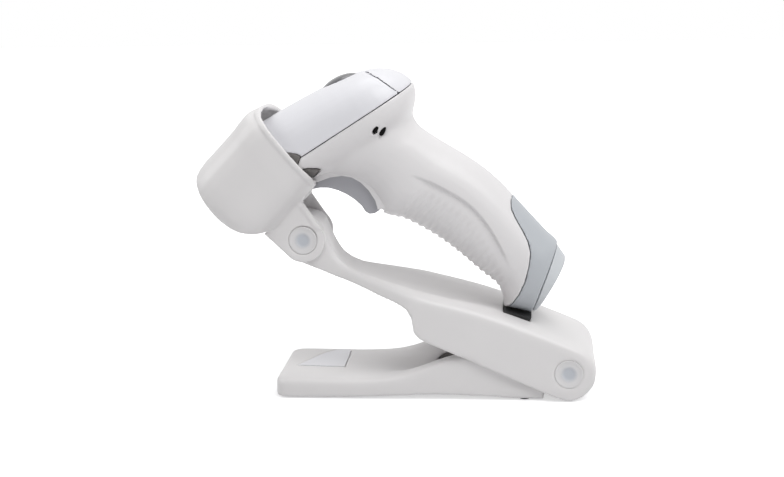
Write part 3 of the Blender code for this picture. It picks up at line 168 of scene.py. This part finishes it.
def plastic(name, colour, rough, grain):
    look = Finish(name)
    cloud = look.noise(plasticLook["cloud"], plasticLook["detail"])
    shade = look.mixed(cloud, shaded(colour, 1 - plasticLook["spread"]),
                       shaded(colour, 1 + plasticLook["spread"]))
    fine = look.noise(plasticLook["fine"])
    sheen = (cloud - 0.5) * plasticLook["sheen"] + rough
    return look.set(colour=shade, rough=sheen,
                    normal=look.bump(fine, grain, plasticLook["strength"]))


def rubber(name, colour, specular=0.5):
    look = Finish(name)
    cloud = look.noise(rubberLook["cloud"], rubberLook["detail"])
    fine = look.noise(rubberLook["fine"])
    shade = look.mixed(cloud, shaded(colour, rubberLook["dark"]),
                       shaded(colour, rubberLook["light"]))
    return look.set(colour=shade, rough=cloud * rubberLook["sheen"] + rubberLook["rough"],
                    specular=specular,
                    normal=look.bump(fine, rubberLook["grain"], rubberLook["strength"]))


def turnedMetal(name, colour, rough):
    look = Finish(name)
    rings = look.noise(metalLook["rings"], stretch=metalLook["stretch"])
    return look.set(colour=look.mixed(rings, shaded(colour, metalLook["dark"]), shaded(colour)),
                    metal=1.0, rough=rings * metalLook["sheen"] + rough,
                    normal=look.bump(rings, metalLook["grain"], metalLook["strength"]))


def smoked(name, colour, rough):
    look = Finish(name)
    cloud = look.noise(smokedLook["cloud"])
    return look.set(colour=look.mixed(cloud, shaded(colour, smokedLook["dark"]), shaded(colour)),
                    rough=cloud * smokedLook["sheen"] + rough, coat=smokedLook["coat"],
                    coatRough=smokedLook["coatRough"])


# milky hinge caps with a cooler middle, which fades out between two shares of their radius
capLook = {"colour": (0.76, 0.75, 0.755), "middle": (0.56, 0.585, 0.63), "rough": 0.4,
           "axes": [(-0.05198, 0.08649), (0.0949, 0.0158)], "radius": 0.0083,
           "fadeFrom": 0.28, "fadeTo": 0.66}


def capPlastic(name):
    look = Finish(name)
    across = look.node("ShaderNodeSeparateXYZ", {}, [look.places])
    up = Value(look, across.socket.node.outputs["Z"])
    near = None
    for x, z in capLook["axes"]:
        off = ((across - x) ** 2.0 + (up - z) ** 2.0) ** 0.5
        near = off if near is None else near.join("MINIMUM", off)
    fade = look.node("ShaderNodeMapRange", {"interpolation_type": "SMOOTHSTEP"},
                     {"Value": near, "From Min": capLook["radius"] * capLook["fadeFrom"],
                      "From Max": capLook["radius"] * capLook["fadeTo"]})
    return look.set(colour=look.mixed(fade, shaded(capLook["middle"]), shaded(capLook["colour"])),
                    rough=capLook["rough"])


whiteStand = plastic("whiteStand", (0.80, 0.785, 0.785), 0.42, 0.00003)
whiteScanner = plastic("whiteScanner", (0.80, 0.785, 0.79), 0.38, 0.00003)
whiteCover = plastic("whiteCover", (0.81, 0.81, 0.845), 0.34, 0.00002)
coolGrey = plastic("coolGrey", (0.50, 0.525, 0.555), 0.42, 0.00004)
triggerGrey = plastic("triggerGrey", (0.42, 0.42, 0.45), 0.4, 0.00003)
paleGrey = plastic("paleGrey", (0.62, 0.645, 0.67), 0.42, 0.00004)
capWhite = capPlastic("capWhite")
nylon = plastic("nylon", (0.5, 0.5, 0.5), 0.5, 0.00004)
engineBlack = plastic("engineBlack", (0.035, 0.033, 0.035), 0.4, 0.00004)
boardGreen = plastic("boardGreen", (0.05, 0.22, 0.11), 0.4, 0.00002)
cellWrap = plastic("cellWrap", (0.08, 0.16, 0.38), 0.3, 0.00001)
softBlack = rubber("softBlack", (0.02, 0.02, 0.021))
bumperGrey = rubber("bumperGrey", (0.17, 0.16, 0.155))
# a dead black with little shine: painted shade for the inside of the head's two slots
slotShadeBlack = rubber("slotShadeBlack", (0.004, 0.004, 0.004), 0.1)
steel = turnedMetal("steel", (0.58, 0.58, 0.6), 0.25)
gold = turnedMetal("gold", (0.8, 0.6, 0.25), 0.2)
smoke = smoked("smoke", (0.09, 0.09, 0.10), 0.15)
window = smoked("window", (0.16, 0.02, 0.025), 0.08)

finishes = {
    "white_plastic": whiteStand, "white_cover": whiteCover, "cool_grey_plastic": coolGrey,
    "pale_grey_plastic": paleGrey, "cap_white": capWhite, "washer_nylon": nylon,
    "engine_black": engineBlack, "board": boardGreen, "cell_wrap": cellWrap,
    "black_rubber": softBlack, "steel": steel, "gold_contact": gold,
    "smoked_plastic": smoke, "clear_window": window}

slots = {part["node"]: part["material_slot"] for part in frame["record"]["subparts"]}
rides = {name: body for body, names in frame["record"]["behaviour"]["bodies"].items()
         for name in names}
for name, node in frame["nodes"].items():
    node.data.materials.clear()
    node.data.materials.append(finishes[slots[name]])
frame["nodes"]["slot_plug"].data.materials[0] = bumperGrey  # the plug in the base's trough, dark grey: partly painted shade for the dark deep in its slot
print("finishes made")

# the scanner's own axes: the back of its seam, and how far its nose points down
scanner = {"seamBack": (0.00882, 0.0, 0.17179), "lean": 32.2}
leanTurn = Matrix.Rotation(math.radians(scanner["lean"]), 4, "Y")
toScanner = leanTurn @ Matrix.Translation(-Vector(scanner["seamBack"]))
fromScanner = toScanner.inverted()
crisp = math.radians(40)  # edges that bend more stay sharp in the shading

# how a solid becomes a moulded skin, in metres, degrees and rounds of smoothing
moulding = {"weld": 0.000015, "bend": 32.0, "sliver": 1e-8, "spacing": 0.0006,
            "edge": 0.0005, "reach": 0.0035, "strength": 0.5, "rounds": 40, "softRounds": 180,
            "lastRounds": 3, "settleRounds": 14}


def pick(piece):
    bpy.ops.object.select_all(action="DESELECT")
    piece.select_set(True)
    bpy.context.view_layer.objects.active = piece


def finish(piece, node, material=None):  # looks and body of the node that it stands for; the looks are its slot's finish unless a material is given
    piece.data.materials.clear()
    piece.data.materials.append(material or finishes[slots[node]])
    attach(piece, rides[node])


def mergedCopy(node, name):
    source = frame["nodes"][node]
    piece = bpy.data.objects.new(name, source.data.copy())
    bpy.context.collection.objects.link(piece)
    pick(piece)
    bpy.ops.object.mode_set(mode="EDIT")
    bpy.ops.mesh.select_all(action="SELECT")
    bpy.ops.mesh.remove_doubles(threshold=moulding["weld"])
    bpy.ops.object.mode_set(mode="OBJECT")
    return piece


def keptEdges(piece, skip=None):  # points along the outward edges that stay crisp
    bend = math.radians(moulding["bend"])
    shape = bmesh.new()
    shape.from_mesh(piece.data)
    points = []
    for edge in shape.edges:
        if len(edge.link_faces) != 2 or edge.calc_face_angle_signed(0.0) < bend:
            continue
        if min(face.calc_area() for face in edge.link_faces) < moulding["sliver"]:
            continue
        first, last = (vert.co for vert in edge.verts)
        steps = max(int((last - first).length / moulding["spacing"]), 1)
        points += [first.lerp(last, step / steps) for step in range(steps + 1)]
    shape.free()
    if skip:
        points = [point for point in points if not skip(point)]
    points.append(Vector((9.0, 9.0, 9.0)))  # far off, so that there is always a nearest one
    tree = KDTree(len(points))
    for number, point in enumerate(points):
        tree.insert(point, number)
    tree.balance()
    return tree


def apply(piece, kind, **settings):
    pick(piece)
    change = piece.modifiers.new(kind.lower(), kind)
    for key, value in settings.items():
        setattr(change, key, value)
    bpy.ops.object.modifier_apply(modifier=change.name)


def weigh(piece, name, weightAt):
    group = piece.vertex_groups.new(name=name)
    for vert in piece.data.vertices:
        group.add([vert.index], weightAt(vert.co), "REPLACE")
    return name


def smoothed(piece, rounds, group=""):
    apply(piece, "SMOOTH", factor=moulding["strength"], iterations=rounds, vertex_group=group)


def eased(value, low, high):
    share = min(max((value - low) / (high - low), 0.0), 1.0)
    return share * share * (3 - 2 * share)


# an outline in the scanner's x and z, in millimetres, between two sides in metres
def prism(name, outline, low, high):
    bpy.ops.object.select_all(action="DESELECT")
    bpy.ops.mesh.primitive_circle_add(vertices=len(outline), radius=1.0, fill_type="NGON")
    piece = bpy.context.object
    piece.name = name
    for vert, (x, z) in zip(piece.data.vertices, outline):
        vert.co = (x / 1000, low, z / 1000)
    bpy.ops.object.mode_set(mode="EDIT")
    bpy.ops.mesh.select_all(action="SELECT")
    bpy.ops.mesh.extrude_region_move(TRANSFORM_OT_translate={"value": (0, high - low, 0)})
    bpy.ops.mesh.select_all(action="SELECT")
    bpy.ops.mesh.normals_make_consistent(inside=False)
    bpy.ops.object.mode_set(mode="OBJECT")
    piece.data.transform(fromScanner)
    return piece


# how far the cover reaches over the bumper
coverReach = {"outline": [(-68.0, 0.9), (-72.3, 5.2), (-78.0, 8.5), (-86.0, 22.0), (-90.0, 40.0),
                          (-50.0, 40.0), (-50.0, 0.9)],
              "half": 0.05, "swell": 0.0002}


def prepared(node, name):  # a merged copy, with what the cover takes from the bumper
    piece = mergedCopy(node, name)
    if node not in ("top_cover", "nose_bumper"):
        return piece
    reach = prism("coverReach", coverReach["outline"], -coverReach["half"], coverReach["half"])
    if node == "nose_bumper":
        apply(piece, "BOOLEAN", operation="DIFFERENCE", solver="EXACT", object=reach)
    else:
        front = mergedCopy("nose_bumper", "coverFront")
        apply(front, "BOOLEAN", operation="INTERSECT", solver="EXACT", object=reach)
        apply(front, "DISPLACE", strength=coverReach["swell"], mid_level=0.0)
        bpy.ops.object.select_all(action="DESELECT")
        front.select_set(True)
        piece.select_set(True)
        bpy.context.view_layer.objects.active = piece
        bpy.ops.object.join()
    bpy.data.objects.remove(reach)
    return piece


# a grid skin over the solid, smoothed away from its crisp edges; soft and settle give the
# places that are smoothed more, before and after carve takes its depth
def mould(node, name, grid, skip=None, soft=None, carve=None, settle=None, material=None):
    piece = prepared(node, name)
    edges = keptEdges(piece, skip)
    apply(piece, "REMESH", mode="VOXEL", voxel_size=grid)
    away = weigh(piece, "away", lambda place: eased(edges.find(place)[2], moulding["edge"],
                                                    moulding["reach"]))
    smoothed(piece, moulding["rounds"], away)
    if soft:
        smoothed(piece, moulding["softRounds"], weigh(piece, "blend", soft))
    smoothed(piece, moulding["lastRounds"])
    if carve:
        normals = [vert.normal.copy() for vert in piece.data.vertices]
        for vert, normal in zip(piece.data.vertices, normals):
            depth = carve(vert.co, normal)
            if depth:
                vert.co -= normal * depth
    if settle:
        smoothed(piece, moulding["settleRounds"], weigh(piece, "calm", settle))
    piece.vertex_groups.clear()
    bpy.ops.object.shade_smooth()
    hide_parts(node)
    finish(piece, node, material)
    print("moulded", name, len(piece.data.polygons), "faces")
    return piece


# the grip: ribs across its front and a crease along its side, each with where it fades in
grip = {"top": 0.02, "bottom": 0.125, "slant": 16.5, "core": 0.008, "side": (0.003, 0.009),
        "crease": [(0.030, -0.0385), (0.034, -0.0351), (0.048, -0.0307), (0.067, -0.0278),
                   (0.084, -0.0303), (0.100, -0.0363), (0.108, -0.040)],
        "creaseDepth": 0.0021, "creaseFade": 0.011, "creaseEdge": (-0.0002, 0.0013),
        "creaseStart": (0.030, 0.045), "creaseEnd": (0.092, 0.108), "flank": 0.2,
        "ribStart": 0.0405, "ribEnd": 0.1115, "ribs": 17, "ribDepth": 0.00075,
        "ribEase": (0.001, 0.002), "ribFade": (0.0045, 0.0115),
        "ribBand": (0.038, 0.1135), "ribBehind": 0.004}
slantTurn = Matrix.Rotation(math.radians(grip["slant"]), 4, "Y")


def alongGrip(place):  # distance down the grip, distance towards its back, and side
    local = slantTurn @ (toScanner @ place)
    return -local.z, local.x, local.y


def creaseAt(down):  # a smooth curve through the crease's points
    line = grip["crease"]
    for number in range(len(line) - 1):
        (low, first), (high, last) = line[number], line[number + 1]
        if down <= high:
            share = min(max((down - low) / (high - low), 0.0), 1.0)
            before, after = line[max(number - 1, 0)], line[min(number + 2, len(line) - 1)]
            rise = (last - before[1]) / (high - before[0]) * (high - low)
            fall = (after[1] - first) / (after[0] - low) * (high - low)
            return (first * (1 + 2 * share) * (1 - share) ** 2 + rise * share * (1 - share) ** 2
                    + last * share * share * (3 - 2 * share) - fall * share * share * (1 - share))
    return line[-1][1]


def carveGrip(place, normal):
    down, back, side = alongGrip(place)
    if not grip["top"] < down < grip["bottom"]:
        return 0.0
    facing = slantTurn @ (leanTurn @ normal)
    outwards = facing.y * side + facing.x * (back - creaseAt(down) - grip["core"])
    if outwards < 0:  # the inside of the shell
        return 0.0
    ahead = creaseAt(down) - back
    depth = 0.0
    if ahead > 0 and abs(normal.y) > grip["flank"]:
        ends = eased(down, *grip["creaseStart"]) * (1 - eased(down, *grip["creaseEnd"]))
        depth += (grip["creaseDepth"] * ends * eased(ahead, *grip["creaseEdge"])
                  * math.exp(-ahead / grip["creaseFade"]) * eased(abs(side), *grip["side"]))
    short, long = grip["ribEase"]
    ribs = eased(down, grip["ribStart"] - short, grip["ribStart"] + long)
    ribs *= 1 - eased(down, grip["ribEnd"] - long, grip["ribEnd"] + short)
    ribs *= eased(ahead, *grip["ribFade"])
    if ribs > 0:
        pitch = (grip["ribEnd"] - grip["ribStart"]) / grip["ribs"]
        wave = 0.5 - 0.5 * math.cos(2 * math.pi * (down - grip["ribStart"]) / pitch)
        depth += grip["ribDepth"] * ribs * (1 - wave)
    return depth


def inRibs(point):
    down, back, side = alongGrip(point)
    first, last = grip["ribBand"]
    return first < down < last and back < creaseAt(down) + grip["ribBehind"]


# the soft hollow where the head turns into the grip: x, z, half width and half height of the
# ovals that it fills, and the shares of them over which it fades
neck = {"top": -0.003, "back": (-0.0105, -0.0165, 0.020, 0.012), "backFade": (0.4, 1.0),
        "front": (-0.055, -0.016, 0.030, 0.010), "frontFade": (0.5, 1.0), "frontShare": 0.8,
        "side": (0.013, 0.018)}


def offOval(local, oval):  # 0 in its middle, 1 on its edge
    x, z, wide, tall = oval
    return math.hypot((local.x - x) / wide, (local.z - z) / tall)


def neckWeight(place):
    local = toScanner @ place
    if local.z > neck["top"]:
        return 0.0
    back = 1 - eased(offOval(local, neck["back"]), *neck["backFade"])
    front = 1 - eased(offOval(local, neck["front"]), *neck["frontFade"])
    return max(back, front * eased(abs(local.y), *neck["side"]) * neck["frontShare"])


bodyShell = mould("body_shell", "bodyShell", 0.0006, skip=inRibs, soft=neckWeight,
                  carve=carveGrip, material=whiteScanner)
topCover = mould("top_cover", "topCover", 0.0006)

# the cup's mouth: a shallow step behind its lip, and on the far side a rim that closes in on
# the head, with a gap that is kept all the way while the head is lifted out
lip = {"outwards": (0.970, 0.0, 0.242), "facing": 0.8, "above": 0.1, "spacing": 0.0004,
       "rim": 0.6, "wide": 0.0022, "step": 0.0012, "depth": 0.0006, "fade": 0.016,
       "inside": 0.006, "farSide": (0.002, 0.012), "sight": 0.012, "gap": 0.0012,
       "most": 0.003, "lifts": [step * 0.006 for step in range(12)],
       "calm": (0.004, 0.009), "calmSide": (0.0, 0.006)}
mouthward = (fromScanner.to_3x3() @ Vector(lip["outwards"])).normalized()
cupSource = frame["nodes"]["holder_cup"].data
mouth = []
for face in cupSource.polygons:
    if face.normal.dot(mouthward) < lip["facing"] or face.center.z < lip["above"]:
        continue
    corners = [cupSource.vertices[index].co for index in face.vertices]
    for first, last in zip(corners, corners[1:] + corners[:1]):
        steps = int((last - first).length / lip["spacing"]) + 1
        mouth += [first.lerp(last, step / steps) for step in range(steps)]
mouthTree = KDTree(len(mouth))
for number, point in enumerate(mouth):
    mouthTree.insert(point, number)
mouthTree.balance()
cupMiddle = sum((vert.co for vert in cupSource.vertices), Vector()) / len(cupSource.vertices)


def gapTo(piece, place, aim):
    hit, reached, normal, face = piece.ray_cast(place, aim, distance=lip["sight"])
    return (reached - place).length if hit else None


def carveLip(place, normal):
    off = mouthTree.find(place)[2]
    if off > lip["fade"] or normal.dot(mouthward) > lip["rim"]:
        return 0.0
    spread = place - cupMiddle
    spread -= mouthward * spread.dot(mouthward)
    if normal.dot(spread) < 0:  # the inside
        if off > lip["inside"]:
            return 0.0
        head = (bodyShell, topCover, bpy.data.objects["noseBumper"])
        gaps = [gapTo(piece, place - mouthward * lift, normal)
                for piece in head for lift in lip["lifts"]]
        free = min((gap for gap in gaps if gap), default=0.0) - lip["gap"]
        return (-min(max(free, 0.0), lip["most"]) * (1 - eased(off, 0.0, lip["inside"]))
                * eased(place.y, *lip["farSide"]))
    behind = lip["wide"] + lip["step"]
    return lip["depth"] * eased(off, lip["wide"], behind) * (1 - eased(off, behind, lip["fade"]))


def nearMouth(place):  # the far side of the mouth is smoothed again
    off = mouthTree.find(place)[2]
    return (1 - eased(off, *lip["calm"])) * eased(place.y, *lip["calmSide"])


# the base gives the arm running room at the hinge, and the inlay a thin groove round it
room = {"hinge": 0.0004, "from": 0.050, "over": 0.01, "height": (0.006, 0.010),
        "upward": 0.3, "inlay": 0.0005, "groove": 0.0006}


def carveBase(place, normal):
    hit, near, facing, face = frame["nodes"]["base_inlay"].closest_point_on_mesh(place)
    if hit and normal.z > room["upward"] and (near - place).length < room["groove"]:
        return room["inlay"]
    return (room["hinge"] * eased(place.x, room["from"], room["from"] + room["over"])
            * eased(place.z, *room["height"]))


# node, piece, grid in metres, and what is its own; the cup comes after the bumper it measures
moulded = [("rear_cap", "rearCap", 0.0005, {}),
           ("lower_cover", "lowerCover", 0.0006, {}),
           ("end_cap", "endCap", 0.0005, {}),
           ("nose_bumper", "noseBumper", 0.0006, {"material": bumperGrey}),
           ("trigger", "fingerTrigger", 0.0005, {"material": triggerGrey}),
           ("indicator_lens", "indicatorLens", 0.00035, {}),
           ("holder_cup", "holderCup", 0.0007, {"carve": carveLip, "settle": nearMouth}),
           ("arm_shell", "standArm", 0.0008, {}),
           ("stand_base", "standBase", 0.0008, {"carve": carveBase})]
for node, name, grid, own in moulded:
    mould(node, name, grid, **own)

# the inlay of the pad: the solid itself, a hair proud of it
inlay = {"proud": 0.0001}
baseInlay = mergedCopy("base_inlay", "baseInlay")
apply(baseInlay, "DISPLACE", strength=inlay["proud"], mid_level=0.0)
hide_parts("base_inlay")
finish(baseInlay, "base_inlay")

# white cheeks on either side of the trigger
cheeks = {"edge": [(-76.3, -15.9), (-72.8, -17.1), (-65.5, -18.7), (-59.4, -21.5),
                   (-55.2, -25.2), (-52.5, -30.4), (-51.2, -36.5), (-51.3, -42.9),
                   (-52.8, -48.1), (-47.9, -50.0), (-39.1, -40.6), (-40.6, -20.3),
                   (-55.1, -8.7), (-72.5, -8.7)],
          "inner": 0.0122, "outer": 0.0148, "bevel": 0.0004, "segments": 3}


def addCheek(side):
    low, high = sorted((side * cheeks["inner"], side * cheeks["outer"]))
    piece = prism("cheek" + ("Right" if side < 0 else "Left"), cheeks["edge"], low, high)
    apply(piece, "BEVEL", width=cheeks["bevel"], segments=cheeks["segments"],
          limit_method="ANGLE")
    pick(piece)
    bpy.ops.object.shade_smooth_by_angle(angle=crisp)
    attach(piece, rides["body_shell"])
    piece.data.materials.append(whiteScanner)


addCheek(-1)
addCheek(1)
print("cheeks added")

# two black ovals on the near side of the head, for two slots there: their black is painted shade
# for the dark inside the slots.
# Their middles, and how far round each the shell is felt, in pixels of the photograph; the tilt in
# degrees, the rest in metres
ovals = {"pixels": [(376.6, 129.0), (382.8, 131.4)], "round": 6, "tall": 0.0056, "wide": 0.0027,
         "tilt": 204.0, "proud": 0.0003, "deep": 0.0016, "bevel": 0.0001, "segments": 2,
         "corners": 48}


def rayThrough(pixel):  # from the eye through a pixel of the photograph
    eye = scene.camera
    turn = eye.rotation_euler.to_matrix()
    half = eye.data.sensor_width / eye.data.lens / photo[0]
    aside, up = pixel[0] - photo[0] / 2, photo[1] / 2 - pixel[1]
    return eye.location.copy(), turn @ Vector((aside * half, up * half, -1.0)).normalized()


def addOval(name, pixel):
    far = ovals["round"]
    hits = []
    for aside, up in ((-far, -far), (far, -far), (-far, far), (far, far)):
        start, aim = rayThrough((pixel[0] + aside, pixel[1] + up))
        hits.append(bodyShell.ray_cast(start, aim)[1:3])
    place = sum((hit[0] for hit in hits), Vector()) / len(hits)
    normal = sum((hit[1] for hit in hits), Vector()).normalized()
    tilt = Matrix.Rotation(math.radians(ovals["tilt"]), 4, "Y")
    upright = (tilt @ Vector((0, 0, 1))).normalized()
    across = upright.cross(normal).normalized()
    turn = Matrix((across, normal.cross(across), normal)).transposed().to_4x4()
    bpy.ops.mesh.primitive_cylinder_add(vertices=ovals["corners"], radius=0.5, depth=1.0)
    piece = bpy.context.object
    piece.name = name
    bpy.ops.object.mode_set(mode="EDIT")
    bpy.ops.mesh.select_all(action="SELECT")
    bpy.ops.transform.resize(value=(ovals["wide"], ovals["tall"], ovals["deep"]))
    bpy.ops.object.mode_set(mode="OBJECT")
    sunk = ovals["deep"] / 2 - ovals["proud"]
    piece.data.transform(Matrix.Translation(place - normal * sunk) @ turn)
    apply(piece, "BEVEL", width=ovals["bevel"], segments=ovals["segments"],
          limit_method="ANGLE")
    pick(piece)
    bpy.ops.object.shade_smooth_by_angle(angle=crisp)
    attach(piece, rides["body_shell"])
    piece.data.materials.append(slotShadeBlack)


for number, pixel in enumerate(ovals["pixels"]):
    addOval("sideSlotShade%d" % (number + 1), pixel)
print("ovals added")

# hinge caps: the radius and depth of the dish, the ramp down to it as shares of its radius, and
# the rounded edge, with the ring inside it in multiples of that edge
caps = {"dish": 0.0034, "dishDepth": 0.0006, "dishMost": 0.5, "rampFrom": 1.35, "rampOver": 0.7,
        "rampSteps": 8, "edge": 0.00022, "edgeCut": 0.3, "ringFrom": 3, "ringTo": 4,
        "ringDrop": 0.7, "turnSteps": 72, "weld": 0.00001}


def nodeBox(node):
    places = [node.matrix_world @ vert.co for vert in node.data.vertices]
    low = Vector([min(place[axis] for place in places) for axis in range(3)])
    high = Vector([max(place[axis] for place in places) for axis in range(3)])
    return low, high


def turnedCap(node, name):  # the cap as a turned disc with a softened dish
    low, high = nodeBox(frame["nodes"][node])
    middle = (low + high) / 2
    away = 1.0 if middle.y > 0 else -1.0
    radius = (high.x - low.x) / 2
    thick = high.y - low.y
    dish, edge, ramp = caps["dish"], caps["edge"], caps["rampSteps"]
    depth = min(caps["dishDepth"], thick * caps["dishMost"])
    cut, level = edge * caps["edgeCut"], -edge * caps["ringDrop"]
    profile = [(0.0, -thick), (radius, -thick), (radius, -edge), (radius - cut, -cut),
               (radius - edge, 0.0), (radius - edge * caps["ringFrom"], 0.0),
               (radius - edge * caps["ringTo"], level), (dish * caps["rampFrom"], level)]
    profile += [(dish * (caps["rampFrom"] - caps["rampOver"] * step / ramp),
                 level - depth * eased(step / ramp, 0.0, 1.0)) for step in range(1, ramp + 1)]
    profile.append((0.0, level - depth))
    bpy.ops.mesh.primitive_circle_add(vertices=3, radius=0.001)
    piece = bpy.context.object
    piece.name = name
    shape = bmesh.new()
    verts = [shape.verts.new((reach, away * out, 0.0)) for reach, out in profile]
    for first, last in zip(verts, verts[1:]):
        shape.edges.new((first, last))
    shape.to_mesh(piece.data)
    shape.free()
    apply(piece, "SCREW", axis="Y", angle=2 * math.pi, steps=caps["turnSteps"],
          render_steps=caps["turnSteps"], use_merge_vertices=True, merge_threshold=caps["weld"])
    pick(piece)
    bpy.ops.object.mode_set(mode="EDIT")
    bpy.ops.mesh.select_all(action="SELECT")
    bpy.ops.mesh.normals_make_consistent(inside=False)
    bpy.ops.object.mode_set(mode="OBJECT")
    outer = high.y if away > 0 else low.y
    piece.data.transform(Matrix.Translation((middle.x, outer, middle.z)))
    bpy.ops.object.shade_smooth_by_angle(angle=crisp)
    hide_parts(node)
    finish(piece, node)


for end in ("front", "rear"):
    for side in ("left", "right"):
        turnedCap("%s_hinge_cap_%s" % (end, side), end + "HingeCap" + side.title())
print("caps turned")

# the floor: white to the eye from the distance "far" on, a little less of it near the object
paperFloor = {"size": 6.0, "colour": (0.75, 0.75, 0.76, 1.0), "rough": 0.9, "near": 0.16,
              "far": 0.5, "glow": 0.55, "more": 0.5}


def addStage():
    bpy.ops.object.select_all(action="DESELECT")
    bpy.ops.mesh.primitive_plane_add(size=paperFloor["size"], location=(0, 0, 0))
    floor = bpy.context.object
    floor.name = "floor"
    paper = Finish("floorWhite")
    seen = paper.node("ShaderNodeLightPath", {}, {}, "Is Camera Ray")
    mirrored = paper.node("ShaderNodeLightPath", {}, {}, "Is Glossy Ray")
    away = paper.node("ShaderNodeVectorMath", {"operation": "LENGTH"}, [paper.places], "Value")
    spread = paper.node("ShaderNodeMapRange", {"interpolation_type": "SMOOTHSTEP"},
                        {"Value": away, "From Min": paperFloor["near"],
                         "From Max": paperFloor["far"]})
    paper.set(colour=paperFloor["colour"], rough=paperFloor["rough"])
    glow = paper.nodes.new("ShaderNodeEmission")
    glow.inputs["Color"].default_value = (1, 1, 1, 1)
    paper.feed(glow.inputs["Strength"],
               (seen + mirrored) * (spread * paperFloor["more"] + paperFloor["glow"]))
    both = paper.nodes.new("ShaderNodeAddShader")
    paper.links.new(paper.shader.outputs[0], both.inputs[0])
    paper.links.new(glow.outputs[0], both.inputs[1])
    paper.links.new(both.outputs[0], paper.nodes["Material Output"].inputs[0])
    floor.data.materials.append(paper.material)


# soft lamps that look at the middle of the object, and the room's light on it and behind it
lamps = {
    "key": {"place": (0.45, -0.5, 1.0), "size": 0.8, "power": 7.0},
    "top": {"place": (0.0, 0.3, 1.2), "size": 0.9, "power": 3.5},
    "left": {"place": (-1.1, 0.1, 0.7), "size": 0.5, "power": 2.6}}
studio = {"middle": (0.0, 0.0, 0.09), "light": 0.37, "backdrop": 1.0}


def addLights():
    for name, lamp in lamps.items():
        bpy.ops.object.light_add(type="AREA", location=lamp["place"])
        light = bpy.context.object
        light.name = name + "Lamp"
        light.data.size = lamp["size"]
        light.data.energy = lamp["power"]
        aim = Vector(studio["middle"]) - Vector(lamp["place"])
        light.rotation_euler = aim.to_track_quat("-Z", "Y").to_euler()
    world = bpy.data.worlds.new("studio")
    scene.world = world
    world.use_nodes = True
    nodes, links = world.node_tree.nodes, world.node_tree.links
    rays = nodes.new("ShaderNodeLightPath")
    seen = nodes.new("ShaderNodeMath")
    seen.operation = "MAXIMUM"
    links.new(rays.outputs["Is Camera Ray"], seen.inputs[0])
    links.new(rays.outputs["Is Glossy Ray"], seen.inputs[1])
    level = nodes.new("ShaderNodeMapRange")
    links.new(seen.outputs[0], level.inputs["Value"])
    level.inputs["To Min"].default_value = studio["light"]
    level.inputs["To Max"].default_value = studio["backdrop"]
    background = nodes["Background"]
    background.inputs["Color"].default_value = (1, 1, 1, 1)
    links.new(level.outputs[0], background.inputs["Strength"])


addStage()
addLights()
print("stage lit")
